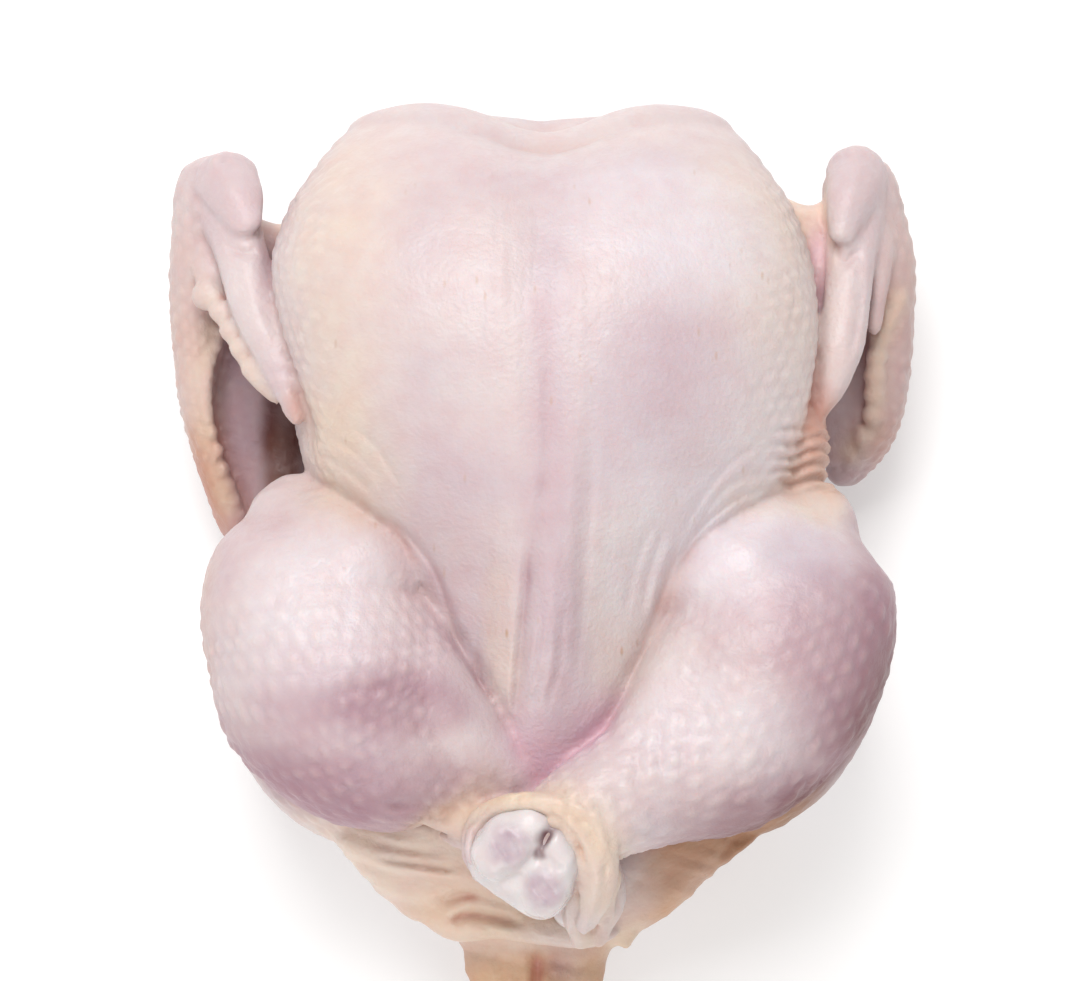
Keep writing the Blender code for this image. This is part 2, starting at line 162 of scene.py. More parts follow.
def limb(places, sizes, steps=36, sides=40):
    """Middle + side * half width * cos(angle) + lift * half height * sin(angle); each end is a quarter turn
    over which the ellipse shrinks by a cosine while its middle moves on by a sine."""
    middle = along(places, steps)
    half = np.maximum(along(sizes, steps), THINNEST)
    tangent = np.gradient(middle, axis=0)
    tangent /= np.linalg.norm(tangent, axis=1)[:, None]
    side = np.cross(tangent, (0.0, 0.0, 1.0))
    side /= np.linalg.norm(side, axis=1)[:, None]
    lift = np.cross(side, tangent)
    turn = np.linspace(0, 0.5 * math.pi, CAP_ROWS + 2)[1:-1]
    start, end = half[0].mean(), half[-1].mean()
    reach = np.concatenate([-np.sin(turn[::-1]) * start, np.zeros(steps), np.sin(turn) * end])
    shrink = np.concatenate([np.cos(turn[::-1]), np.ones(steps), np.cos(turn)])
    centre = end_rows(middle) + end_rows(tangent) * reach[:, None]
    half = end_rows(half) * shrink[:, None]
    angle = np.linspace(0, 2 * math.pi, sides, endpoint=False)
    across = end_rows(side)[:, None] * (half[:, :1] * np.cos(angle))[..., None]
    upward = end_rows(lift)[:, None] * (half[:, 1:] * np.sin(angle))[..., None]
    return closed_tube(centre[:, None] + across + upward)


print("a limb's points:", len(limb([(0, 0, 0), (0, 50, 0)], [(10, 8), (6, 6)])[0]))


# %% A ball, for quill stumps
def ball(centre, radius, sides=20, rows=12):
    """Centre + radius * (cos(height) cos(angle), cos(height) sin(angle), sin(height))."""
    height = np.linspace(-0.5 * math.pi, 0.5 * math.pi, rows + 2)[1:-1, None]
    angle = np.linspace(0, 2 * math.pi, sides, endpoint=False)[None]
    flat = np.cos(height)
    rings = np.stack([flat * np.cos(angle), flat * np.sin(angle), np.sin(height) + 0 * angle], -1)
    return closed_tube(np.array(centre, float) + radius * rings)


print("a ball's points:", len(ball((0, 0, 0), 1)[0]))

# %% [markdown]
# ## Legs, wings and rolls of skin
#
# Each limb is a row of places through its middle and a row of half widths and half heights. The drumsticks
# run from the knee, beside the breast, to the hock. The right one lies over the left one, so the left shank
# dips under it. The smaller tubes are the rolls: the yellow sleeve of shank skin pushed up round the bare
# joint, the lip over the vent, the flank's edge and the flap of neck skin tucked under.

# %% The legs
LEFT_THIGH = (
    ((-36, -62, 29), (-52, -45, 30), (-62, -22, 34), (-67, 2, 44)),
    ((20, 20), (28, 27), (27, 28), (13, 16)),
)
RIGHT_THIGH = (
    ((37, -60, 29), (54, -43, 30), (64, -21, 34), (69, 2, 44)),
    ((20, 20), (28, 27), (28, 28), (13, 16)),
)
LEFT_DRUMSTICK = (
    (
        (-67.5, 9, 54), (-68.5, -1, 56), (-65.6, -10, 59), (-61, -19, 61), (-55, -31, 63), (-48.5, -41, 63.5),
        (-43, -47.4, 63.5), (-34.7, -52.6, 63.5), (-25.8, -55, 63), (-15.7, -59.5, 62), (-3.7, -70, 60),
        (6, -82, 58),
    ),
    (
        (12, 13), (21, 20), (27, 24), (30, 27), (33, 29), (31, 28),
        (27, 26), (21.4, 22), (15, 17), (11.6, 13), (12, 11), (10, 9),
    ),
)
RIGHT_DRUMSTICK = (
    (
        (70, 8, 54), (67.6, -2, 57), (65.8, -13.4, 60), (60.4, -26.2, 63), (54.2, -38.6, 65),
        (45, -50.4, 67.5), (30, -58, 71), (16, -65, 75), (8.5, -70, 76.5), (3, -75, 77),
    ),
    (
        (13.5, 13), (23, 21), (27.6, 27), (29.8, 29), (28.4, 28), (24, 24),
        (18.6, 19), (15, 15.5), (14, 14), (13, 12),
    ),
)
LEFT_KNEE = (((-66, 13, 54), (-58, 4, 58), (-51, -6, 61)), ((10, 10), (17, 18), (22, 23)))
RIGHT_KNEE = (((68, 11, 54), (60, 2, 60), (53, -8, 64)), ((10, 10), (17, 18), (22, 23)))
LEFT_CALF = (
    ((-44, -22, 64), (-34, -36, 66), (-23.5, -47, 66), (-13, -57, 64)),
    ((18, 20), (18.4, 20), (15, 17), (11, 12)),
)
RIGHT_CALF = (
    ((47, -22, 66), (39, -36, 69), (30, -48, 72), (18, -60, 75)),
    ((16, 20), (16, 18), (13, 15), (10, 12)),
)
SPAN = (((-7, -46, 57), (3, -45, 60), (15, -40, 62), (24, -35, 63)), ((9, 7), (12, 7), (9, 6), (6, 5)))
SLEEVE_BAND = (((-29, -69.6, 67), (-20, -70.5, 71.5), (-9, -70.5, 77)), ((2, 2.4), (4.6, 3), (7.4, 5)))
SLEEVE_EDGE = (((-26, -73, 63), (-20, -75, 68), (-14, -73, 73)), ((1.8, 1.8), (2.8, 2), (3, 3)))
SLEEVE_CUFF = (
    (
        (-17, -84, 73), (-19.4, -77, 75), (-15.4, -69, 79), (-6.6, -65.2, 83), (3, -66.4, 85),
        (10.6, -72, 84.5), (13.2, -80, 82), (13, -88, 76), (11, -95, 67),
    ),
    ((1.4, 3), (2, 3), (2.8, 4), (3.2, 5), (4.2, 5.4), (5.4, 5.4), (5.4, 5.4), (4.6, 5), (3, 4)),
)
CAPSULE = (
    ((-19, -73, 80), (-19.4, -79, 79.5), (-14.5, -84.5, 79), (-9, -89.5, 78)),
    ((1.5, 3), (1.4, 4), (1.4, 4), (1.2, 4)),
)
LEFT_LEG_ROLL = (((14.5, -80, 63), (16, -89, 60), (13.5, -97, 56)), ((5, 5), (5.4, 5), (4, 4)))
LEFT_LEG_TUBE = (((7, -86, 62), (8.5, -93, 60), (11, -98.5, 56)), ((5, 4), (4.2, 3.6), (3.6, 3.4)))
LEGS = (
    LEFT_THIGH, RIGHT_THIGH, LEFT_DRUMSTICK, RIGHT_DRUMSTICK, LEFT_KNEE, RIGHT_KNEE, LEFT_CALF, RIGHT_CALF,
    SPAN, SLEEVE_BAND, SLEEVE_EDGE, SLEEVE_CUFF, CAPSULE, LEFT_LEG_ROLL, LEFT_LEG_TUBE,
)
# Where the trunk gives way under a leg: the leg's places and sizes, depth, how far beyond its skin.
SINKS = (
    (*LEFT_DRUMSTICK, 5.0, 4.0), (*RIGHT_DRUMSTICK, 5.0, 4.0), (*LEFT_CALF, 4.0, 3.0),
    (*RIGHT_CALF, 2.5, 3.0), (*LEFT_KNEE, 4.0, 4.0), (*RIGHT_KNEE, 3.0, 4.0),
)
print("leg tubes:", len(LEGS))

# %% [markdown]
# ## The trunk
#
# The trunk is a barrel with a ridge: broad and round over the breast, narrowing to a keel between the legs,
# then low and wide at the tail. A superellipse has a squareness number that runs from a peaked roof (about
# 1.2) through an ellipse (2) to a boxy loaf (over 2.4), so one formula with a changing number gives all of
# these sections.

# %% The trunk's cross-sections
# Each row: place along the bird, half width, height of the top, height where it is widest, height of the
# underside, squareness of the upper half, how far it leans to the right.
TRUNK_ROWS = (
    (-102, 18, 38, 27, 14, 2.3, 0),
    (-97, 27, 44, 28, 9, 2.2, 0),
    (-90, 37, 49, 28, 4, 2.1, 0),
    (-79, 48, 56, 29, 0, 1.9, 0),
    (-68, 55, 63, 32, -2, 1.6, 0),
    (-50, 50, 75, 36, -3, 1.35, 0),
    (-30, 47, 89, 42, -3, 1.2, 0.5),
    (-8, 54, 100.5, 48, -3, 1.25, 2),
    (14, 64, 107, 52, -3, 1.55, 3),
    (38, 69.5, 109.5, 54, -3, 2.0, 2.5),
    (60, 73, 109, 55, -1, 2.3, 1),
    (78, 72.5, 104, 55, 2, 2.4, -1.2),
    (92, 68, 97, 54, 7, 2.4, -1.2),
    (103, 61.5, 88, 52, 13, 2.4, -1.2),
    (111, 56, 78.5, 50, 19, 2.4, -1.2),
    (115.5, 52, 71, 48, 24, 2.4, -1.2),
)
UNDERSIDE_SQUARENESS = 2.4
END_BLUNTNESS = 0.6
TAIL_END_LENGTH = 5.0
NECK_END_LENGTH = 8.5
# The notch between the breast lobes: depth, half width, where it starts, its length.
NOTCH = (9.5, 19.0, 84.0, 32.0)
# The valley along the keel: depth at the neck end, half width, depth at the tail end, where it ends, its
# length.
VALLEY = (3.2, 11.0, 0.9, 110, 60.0)
# The legs' beds: the height and the place along the bird where they begin, and over what length they
# deepen.
BED_HEIGHT = (42, 14)
BED_PLACE = (-54, 12)
BED_STEPS = 30
# Where the hand of each wing lies in the side of the breast: places, half width, depth.
HAND_DENTS = (
    (((-78, 84, 57), (-76, 68, 60), (-71, 56, 63), (-67, 46, 65), (-62, 36, 66)), 7.0, 3.8),
    (((80, 84, 56), (79, 72, 58), (77, 60, 60), (75, 48, 61), (72, 38, 60)), 7.0, 3.4),
)


def to_line(points, line):
    """Distance of each point to a line of short straight pieces, and its place along the line, 0 to 1."""
    nearest = np.full(len(points), np.inf)
    place = np.zeros(len(points))
    for i, start in enumerate(line[:-1]):
        step = line[i + 1] - start
        t = np.clip((points - start) @ step / (step @ step), 0, 1)
        away = np.linalg.norm(points - start - t[:, None] * step, axis=1)
        nearer = away < nearest
        nearest = np.where(nearer, away, nearest)
        place = np.where(nearer, (i + t) / (len(line) - 1), place)
    return nearest, place


def trunk(steps=110, sides=100, cap=8):
    """Superellipses along Y: x = half width * |cos|^(2/n), z = rise * |sin|^(2/n), with their signs kept. The
    neck end has a notch and the keel a shallow valley, each a bell curve across the bird. Beside each
    drumstick the trunk sinks, so that the leg overhangs it."""
    rows = along(TRUNK_ROWS, steps)
    turn = np.linspace(0, 0.5 * math.pi, cap + 1)[1:-1]
    ends = []
    for row, length in ((rows[0], -TAIL_END_LENGTH), (rows[-1], NECK_END_LENGTH)):
        end = np.repeat(row[None], len(turn), 0)
        shrink = np.cos(turn) ** END_BLUNTNESS
        end[:, 0] += length * np.sin(turn)
        end[:, 1] *= shrink
        end[:, 2] = row[3] + (row[2] - row[3]) * shrink
        end[:, 4] = row[3] + (row[4] - row[3]) * shrink
        ends.append(end)
    rows = np.vstack([ends[0][::-1], rows, ends[1]])
    angle = np.linspace(0, 2 * math.pi, sides, endpoint=False)
    above = np.sin(angle)[None] > 0
    power = 2 / np.where(above, rows[:, 5:6], UNDERSIDE_SQUARENESS)
    across = np.sign(np.cos(angle)) * np.abs(np.cos(angle)) ** power
    upward = np.sign(np.sin(angle)) * np.abs(np.sin(angle)) ** power
    rise = np.where(above, rows[:, 2:3] - rows[:, 3:4], rows[:, 3:4] - rows[:, 4:5])
    x = rows[:, 6:7] + rows[:, 1:2] * across
    y = np.repeat(rows[:, :1], sides, 1)
    z = rows[:, 3:4] + rise * upward
    depth, width, start, length = NOTCH
    into = np.clip((y - start) / length, 0, 1) ** 2 * np.clip((z - 20) / 30, 0, 1)
    y = y - depth * bell(x, width) * into
    deep, width, shallow, end, length = VALLEY
    fade = np.clip((y - end + length) / length, 0, 1)
    z = z - (shallow + (deep - shallow) * fade) * bell(x, width) * np.clip((z - 50) / 30, 0, 1)
    points = np.stack([x, y, z], axis=-1)[:, ::-1]
    for places, width, depth in HAND_DENTS:
        away, _ = to_line(points.reshape(-1, 3), along(places, 12))
        press = depth * bell(away, width).reshape(points.shape[:2])
        points[..., 0] -= np.sign(points[..., 0]) * press
    sink = np.zeros(points.shape[:2])
    for places, sizes, depth, reach in SINKS:
        radius = along(sizes, BED_STEPS).mean(1)
        away, place = to_line(points.reshape(-1, 3), along(places, BED_STEPS))
        beyond = away - np.interp(place, np.linspace(0, 1, BED_STEPS), radius)
        sink = np.maximum(sink, depth * smooth_step(1 - beyond / reach).reshape(points.shape[:2]))
    for axis, (start, length) in ((2, BED_HEIGHT), (1, BED_PLACE)):
        sink = sink * smooth_step((points[..., axis] - start) / length)
    points[..., 2] -= sink
    return closed_tube(points)


trunk_points = trunk()[0]
print("trunk:", np.round(np.ptp(trunk_points, axis=0), 1), "mm")

# %% [markdown]
# ## The wings
#
# Each wing is folded in three: the upper arm goes from the shoulder down the bird's side, the forearm lies
# outside it, and the hand comes back over both with its thumb and its last finger. Flat webs and a ragged
# flap of skin join them.

# %% The wings
LEFT_UPPER_WING = (
    ((-58, 88, 36), (-70, 68, 29), (-79, 44, 23), (-83, 22, 17)),
    ((13, 12), (13, 9), (13, 7), (8, 6)),
)
RIGHT_UPPER_WING = (
    ((60, 88, 38), (71, 68, 32), (78, 49, 28), (81, 36, 23)),
    ((13, 12), (12, 9), (12, 8), (9, 7)),
)
LEFT_FOREARM = (
    ((-88.5, 99.5, 42), (-92, 80, 36), (-93.6, 62, 30), (-94.3, 44, 25), (-90, 28, 20), (-85, 15, 16)),
    ((11.5, 11), (9.5, 12.5), (7.4, 13), (4.6, 13), (4.4, 12), (5, 10)),
)
RIGHT_FOREARM = (
    ((85, 100.5, 42), (90.5, 82, 37), (93, 65, 31), (92.3, 50, 27), (90, 38, 22), (83.5, 30.5, 16)),
    ((10.5, 10.5), (9.5, 12), (7, 12), (6.4, 12), (5.8, 11), (6, 9)),
)
LEFT_HAND = (
    ((-86, 98, 47), (-81, 83, 56), (-77.3, 68, 60.5), (-72.7, 56, 63), (-68.9, 46, 65), (-65.4, 36.4, 66)),
    ((9, 8), (7.2, 5.5), (6.6, 5), (5.2, 4.6), (4, 3.8), (2.2, 2.4)),
)
RIGHT_HAND = (
    ((84, 100, 47), (81.5, 80, 56), (79.1, 61, 60), (77, 51, 61), (75, 44, 61), (73.3, 39, 60.5)),
    ((9, 8), (6.5, 5.5), (6.4, 5), (5.4, 4.5), (4, 3.6), (2, 2.4)),
)
LEFT_THUMB = (((-85.5, 102, 50), (-82, 96, 57), (-79.5, 89.5, 61.5)), ((9, 8), (7.4, 5.8), (5.0, 3)))
RIGHT_THUMB = (((83.5, 104, 49), (81, 95, 58), (78.5, 86, 62)), ((8.5, 8), (6.5, 5.8), (3.6, 2.6)))
LEFT_FINGER = (((-91, 92, 45), (-88.5, 80, 48), (-85, 66, 52)), ((5, 5), (5, 4), (2.5, 3)))
RIGHT_FINGER = (((89, 92, 46), (89.6, 80, 50), (88, 63, 50)), ((5, 5), (3.5, 4), (2, 3)))
LEFT_FLAP = (
    ((-92, 82, 46), (-88, 71, 52.5), (-83, 61.5, 55.5), (-79, 53, 57.5), (-74.8, 46.5, 59), (-71, 42, 61)),
    ((4.2, 4), (3.2, 2.8), (2.8, 2.0), (2.6, 2.0), (2.4, 2.0), (1.6, 1.6)),
)
LEFT_WEB = (((-60, 86, 44), (-72, 85, 43), (-86, 90, 40)), ((10, 7), (7, 5), (7, 6)))
RIGHT_ARMPIT = (((64, 90, 46), (71, 82, 49), (76, 70, 50), (74, 58, 48)), ((6, 6), (6, 5), (5, 5), (4, 5)))
LEFT_ARMPIT = (
    ((-66, 52, 24), (-70, 38, 20), (-70, 22, 20), (-68, 10, 22)),
    ((10, 9), (10, 9), (10, 9), (10, 10)),
)
RIGHT_WEB = (((60, 88, 46), (72, 88, 45), (86, 93, 42)), ((11, 7), (9, 4), (9, 6)))
WINGS = (
    LEFT_UPPER_WING, RIGHT_UPPER_WING, LEFT_FOREARM, RIGHT_FOREARM, LEFT_HAND, RIGHT_HAND, LEFT_THUMB,
    RIGHT_THUMB, LEFT_FINGER, RIGHT_FINGER, LEFT_WEB, RIGHT_WEB, LEFT_FLAP, LEFT_ARMPIT, RIGHT_ARMPIT,
)
print("wing tubes:", len(WINGS))

# %% [markdown]
# ## Rolls of loose skin
#
# Behind the legs the skin hangs loose: the blunt tail, the lip over the vent, the flank's rim and the
# belly's folds. At the other end a flap of neck skin is tucked under. A row of small balls along each wing
# stands for the stumps of its quills.

# %% Tail, vent lip, flank and neck skin
TAIL = (
    ((-2.5, -88, 26), (-2.5, -102, 25.5), (-2.5, -112, 25), (-3, -121, 25)),
    ((24, 14), (20, 11), (17.5, 9.5), (10, 7)),
)
VENT_LIP = (
    ((-32, -91, 38), (-23, -95.5, 41), (-12, -95.5, 43), (0, -97, 44), (11, -98.5, 43), (17, -97, 40)),
    ((4.5, 4), (5, 4.5), (4.5, 4.5), (4.5, 4.5), (4, 4), (3, 3)),
)
FLANK_RIM = (
    ((74, -53, 34), (62, -64, 33), (48, -76, 32), (33, -87, 31), (21.5, -98, 31)),
    ((4, 5), (3.2, 5), (3.2, 5), (3.2, 5), (3, 4)),
)
FLANK_TAB = (((20, -96, 33), (21.5, -101, 32)), ((3.5, 2.5), (1.6, 1.4)))
NECK_SKIN = (
    ((-42, 106, 27), (-24, 114, 22), (0, 115, 19), (24, 114, 22), (42, 106, 27)),
    ((6, 8), (6.5, 9), (6.5, 9), (6.5, 9), (6, 8)),
)
BREAST_SIDE_FOLD = (((62, 46, 54), (67.5, 32, 53), (66, 18, 52)), ((7, 12), (8, 15), (7, 12)))
BELLY_FOLDS = (
    (
        ((-53, -67, 37), (-48.5, -74, 36), (-41.5, -82, 35), (-33.5, -90, 35)),
        ((6, 7), (6, 7), (6, 7), (5, 6)),
    ),
    (((-48, -72, 41), (-36, -76, 45), (-22, -79, 48)), ((7, 5), (7, 4.4), (6, 4))),
    (((-42, -81, 39), (-30, -85, 42), (-14, -87, 44), (-4, -88, 45)), ((6, 4), (6, 3.6), (5, 3.4), (4, 3))),
    (
        ((-33, -92, 37), (-22, -94.5, 41), (-10, -94.5, 43), (2, -96, 43)),
        ((2, 2), (2.6, 2.4), (2.4, 2.4), (2, 2)),
    ),
)
SLEEVE_TAILS = (
    (((10, -88, 72), (7.8, -94, 65), (9.4, -100.5, 56)), ((3.4, 3), (3.2, 2.6), (2.6, 2.2))),
    (((16, -84, 73), (15.2, -92, 65), (14.2, -100, 55)), ((4, 3.6), (3, 3), (2.4, 2.4))),
)
ROLLS = (TAIL, VENT_LIP, FLANK_RIM, FLANK_TAB, NECK_SKIN, BREAST_SIDE_FOLD) + SLEEVE_TAILS + BELLY_FOLDS
# Quill stumps along the wings: places, how many, radius.
LEFT_BEADS = (
    (-89.6, 72.5, 53), (-85.4, 64, 56), (-81.4, 57, 58.4), (-77.4, 49.5, 60), (-74.4, 47, 60.6),
    (-71.6, 44.6, 61),
)
LEFT_RIM = (
    (-87, 63.5, 40), (-90.8, 53.5, 39), (-91.4, 44.5, 38), (-90, 37, 35), (-86.4, 25, 29), (-83, 15, 24),
)
QUILLS = (
    (LEFT_BEADS, 8, 3.0),
    (((-90.4, 71, 51.5), (-90.4, 71, 51.5)), 1, 4.2),
    (LEFT_RIM, 14, 2.4),
    (((94.5, 71, 43), (90, 61, 42), (88.6, 51, 41), (88, 41, 36), (83.5, 31, 26)), 9, 3.2),
    (((97, 66, 37), (96.6, 55, 36), (95, 45, 33), (91, 36, 28)), 7, 2.4),
)
print("rolls:", len(ROLLS), "and", sum(row[1] for row in QUILLS), "quill stumps")

# %% [markdown]
# ## One skin over everything
#
# Real skin has no seam where a leg meets the breast. A voxel remesh gives just that: it fills space with
# small cubes, keeps the ones inside any of the volumes, and draws one closed surface round them. The cube's
# side decides how fine the surface is, and a little under a millimetre is enough to shape goose bumps
# later.

# %% Fuse the volumes
SKIN_CUBE = 0.92


def fused(name, volumes, cube):
    """An object whose one closed mesh wraps all the volumes."""
    vertices, faces, start = [], [], 0
    for points, sides in volumes:
        vertices.append(points)
        faces += [[start + i for i in face] for face in sides]
        start += len(points)
    mesh = bpy.data.meshes.new(name)
    mesh.from_pydata(np.vstack(vertices).tolist(), [], faces)
    thing = bpy.data.objects.new(name, mesh)
    bpy.context.scene.collection.objects.link(thing)
    fuse = thing.modifiers.new("fuse", "REMESH")
    fuse.mode = "VOXEL"
    fuse.voxel_size = cube
    fuse.adaptivity = 0.0
    settle(thing)
    return thing


def settle(thing):
    """The object's mesh becomes what its modifiers make of it."""
    graph = bpy.context.evaluated_depsgraph_get()
    made = bpy.data.meshes.new_from_object(thing.evaluated_get(graph))
    thing.modifiers.clear()
    thing.data = made


volumes = [trunk()] + [limb(*tube) for tube in LEGS + WINGS + ROLLS]
for places, count, radius in QUILLS:
    volumes += [ball(spot, radius) for spot in along(places, count)]
skin = fused("skin", volumes, SKIN_CUBE)
print("skin:", len(skin.data.polygons), "faces from", len(volumes), "volumes")


# %% Read and write the skin's points
def read_points(thing):
    """All vertices as one array."""
    points = np.empty(len(thing.data.vertices) * 3)
    thing.data.vertices.foreach_get("co", points)
    return points.reshape(-1, 3)


def write_points(thing, points):
    """Put the array back into the mesh."""
    thing.data.vertices.foreach_set("co", points.ravel())
    thing.data.update()


def read_normals(thing):
    """The direction out of the surface at each vertex."""
    normals = np.empty(len(thing.data.vertices) * 3)
    thing.data.vertices.foreach_get("normal", normals)
    return normals.reshape(-1, 3)


print("skin points:", len(read_points(skin)))

# %% [markdown]
# ## Easing
#
# Skin stretches over a hollow between two muscles instead of following it down. Moving each point towards
# the middle of its neighbours, again and again, does the same. A few rounds everywhere take away the cubes'
# stair-steps. Many rounds inside chosen capsules ease the places where a thigh runs into the belly or a
# wing into the shoulder.

# %% Ease the skin
# The capsules: both ends of the middle line, and the radius.
EASED = (
    ((-40, -60, 22), (-66, -4, 30), 26),
    ((40, -58, 22), (67, -4, 30), 26),
    ((-80, -52, 44), (-86, 2, 46), 16),
    ((82, -50, 44), (90, 2, 46), 16),
    ((-63, 86, 42), (-66, 88, 30), 11),
    ((63, 86, 42), (66, 88, 30), 11),
    ((-22, -92, 20), (18, -92, 20), 14),
    ((-86, 100, 40), (-88, 92, 40), 12),
    ((86, 100, 40), (89, 92, 40), 12),
    ((68, 46, 54), (68, 22, 46), 12),
    ((-68, 18, 34), (-66, 30, 34), 10),
    ((68, 16, 34), (66, 30, 34), 10),
    ((-68, 12, 62), (-60, -12, 84), 12),
    ((69, 10, 62), (62, -12, 88), 12),
    ((-50, -16, 86), (-34, -48, 86), 10),
    ((52, -16, 92), (38, -46, 92), 10),
    ((-80, 8, 52), (-84, -6, 52), 9),
    ((80, 8, 52), (84, -6, 54), 9),
    ((-32, 0, 77), (-22, -26, 74), 4),
    ((-22, -26, 74), (-8, -46, 68), 4),
    ((34, -4, 76), (24, -33, 72), 4),
    ((24, -33, 72), (10, -48, 67), 4),
)
ROUNDS_EVERYWHERE = 5
ROUNDS_EASED = 60
HALF_WAY = 0.5


def neighbours(thing):
    """Both ends of every edge, and one over the number of edges at each vertex."""
    ends = np.empty(len(thing.data.edges) * 2, int)
    thing.data.edges.foreach_get("vertices", ends)
    a, b = ends.reshape(-1, 2).T
    total = len(thing.data.vertices)
    return a, b, 1 / np.maximum(np.bincount(a, minlength=total) + np.bincount(b, minlength=total), 1)


def relaxed(points, links, weight, rounds):
    """Each round moves a point by weight times the way to the mean of its neighbours."""
    a, b, share = links
    points = points.copy()
    for _ in range(rounds):
        for axis in range(points.shape[1]):
            column = points[:, axis]
            sums = np.bincount(a, column[b], len(points)) + np.bincount(b, column[a], len(points))
            points[:, axis] += (sums * share - column) * weight
    return points


def eased_weight(points):
    """Half inside the capsules, falling to nothing at their edge."""
    weight = np.zeros(len(points))
    for start, end, radius in EASED:
        away, _ = to_line(points, np.array([start, end], float))
        weight = np.maximum(weight, np.clip(1.6 * (1 - away / radius), 0, 1))
    return HALF_WAY * weight


links = neighbours(skin)
points = relaxed(read_points(skin), links, HALF_WAY, ROUNDS_EVERYWHERE)
points = relaxed(points, links, eased_weight(points), ROUNDS_EASED)
write_points(skin, points)
print("eased; top at", round(points[:, 2].max(), 1), "mm")

# %% [markdown]
# ## Creases and folds
#
# The bird's character is in its lines: the crease where a drumstick presses into the breast, the fan of
# ridges at the end of the keel, the rolled lip at the tail. Each is a curve traced from above and laid on
# the skin, then pushed in or pulled out with a bell-shaped profile: a deep narrow bell is a crease, a
# shallow wide one a fold.

# %% Lay a traced line on the skin and press it in
LOWEST_DRAWN = 18.0
FACING_UP = 0.15
SKIN_NEAR = 2.0
EVEN_ROUNDS = 4
STROKE_STEPS = 24
TRUNK_TABLE = along(TRUNK_ROWS, 300)


def breast_height(flat):
    """The trunk's own height at each place: widest height + rise * (1 - |x / half width|^n)^(1/n)."""
    rows = [np.interp(flat[:, 1], TRUNK_TABLE[:, 0], column) for column in TRUNK_TABLE.T[1:]]
    half, top, widest, _, power, lean = rows
    share = np.clip(np.abs((flat[:, 0] - lean) / half), 0, 1) ** power
    return widest + (top - widest) * (1 - share) ** (1 / power)


def laid(points, flat, guess):
    """The traced line with a height: at each place the skin within two millimetres whose height is nearest to
    the guess, then evened out along the line."""
    line = np.column_stack([flat, guess])
    for i, spot in enumerate(flat):
        near = points[np.abs(points[:, :2] - spot).max(1) < SKIN_NEAR, 2]
        if len(near):
            line[i, 2] = near[np.abs(near - guess[i]).argmin()]
    for _ in range(EVEN_ROUNDS):
        line[1:-1, 2] = 0.5 * line[1:-1, 2] + 0.25 * (line[:-2, 2] + line[2:, 2])
    return line


def near_line(points, line, reach):
    """Which points are close to the line, their distance to it and their place along it."""
    inside = ((points > line.min(0) - reach) & (points < line.max(0) + reach)).all(1)
    chosen = np.flatnonzero(inside)
    away, place = to_line(points[chosen], line)
    return chosen, away, place


def pressed(thing, points, strokes):
    """Height times a bell of the distance to each line, fading over the line's ends, up or down only. The
    guess is a height, or BREAST for the trunk's own."""
    for places, width, height, guess in strokes:
        write_points(thing, points)
        normals = read_normals(thing)
        flat = along(places, STROKE_STEPS)
        box = ((points[:, :2] > flat.min(0) - 3) & (points[:, :2] < flat.max(0) + 3)).all(1)
        upper = points[box & (normals[:, 2] > FACING_UP) & (points[:, 2] > LOWEST_DRAWN)]
        heights = breast_height(flat) if guess is BREAST else np.full(len(flat), float(guess))
        line = laid(upper, flat, heights)
        chosen, away, place = near_line(points, line, 3 * width)
        fade = np.clip(5 * place, 0, 1) * np.clip(5 * (1 - place), 0, 1)
        upward = np.maximum(normals[chosen, 2], 0.0)
        points[chosen, 2] += height * bell(away, width) * fade * upward
    return points


# Each stroke: traced places, half width, height (below zero presses in), the guess at the skin's height
# there.
BREAST = None
TOP = 200
KEEL_LINE = ((0.2, 63), (0.8, 37), (0, 16), (-2.8, 3), (-4, -12), (-6, -25), (-7, -38), (-8.8, -47))
BREAST_STROKES = (
    (KEEL_LINE, 1.5, -0.9, BREAST),
    (((-4.0, 6), (-5.4, -12), (-6.8, -28), (-7.6, -38), (-9.4, -48)), 1.6, -2.4, BREAST),
    (((-9, -8), (-11.5, -26), (-13, -38), (-13.5, -46)), 5.0, 2.2, BREAST),
    (((-0.3, -12), (-2.3, -28), (-4.7, -36.3), (-7, -44)), 1.0, -1.5, BREAST),
    (((1.8, -16), (-0.3, -29.5), (-2.3, -36.5), (-4.9, -42)), 1.0, -1.4, BREAST),
    (((-1.6, -16), (-3.6, -31), (-6, -41)), 1.0, 1.3, BREAST),
    (((0.8, -18), (-1.2, -30), (-3.4, -36), (-6, -43)), 1.0, 1.3, BREAST),
    (((5.2, -14), (3.9, -30.5), (1.8, -37), (0.8, -43)), 1.2, -1.3, BREAST),
    (((12, 30), (11, 0), (9.5, -20), (7, -40)), 1.6, -0.8, BREAST),
    (((7, 40), (7, 5), (6, -18), (4, -30)), 1.8, 0.6, BREAST),
    (((-17.7, -18), (-18, -32), (-18.5, -42)), 1.4, -1.3, BREAST),
    (((-3, 96), (-2, 80), (-4, 62)), 1.4, -0.6, BREAST),
    (((-14, 112), (0, 106), (12, 111)), 3.0, -0.7, BREAST),
)
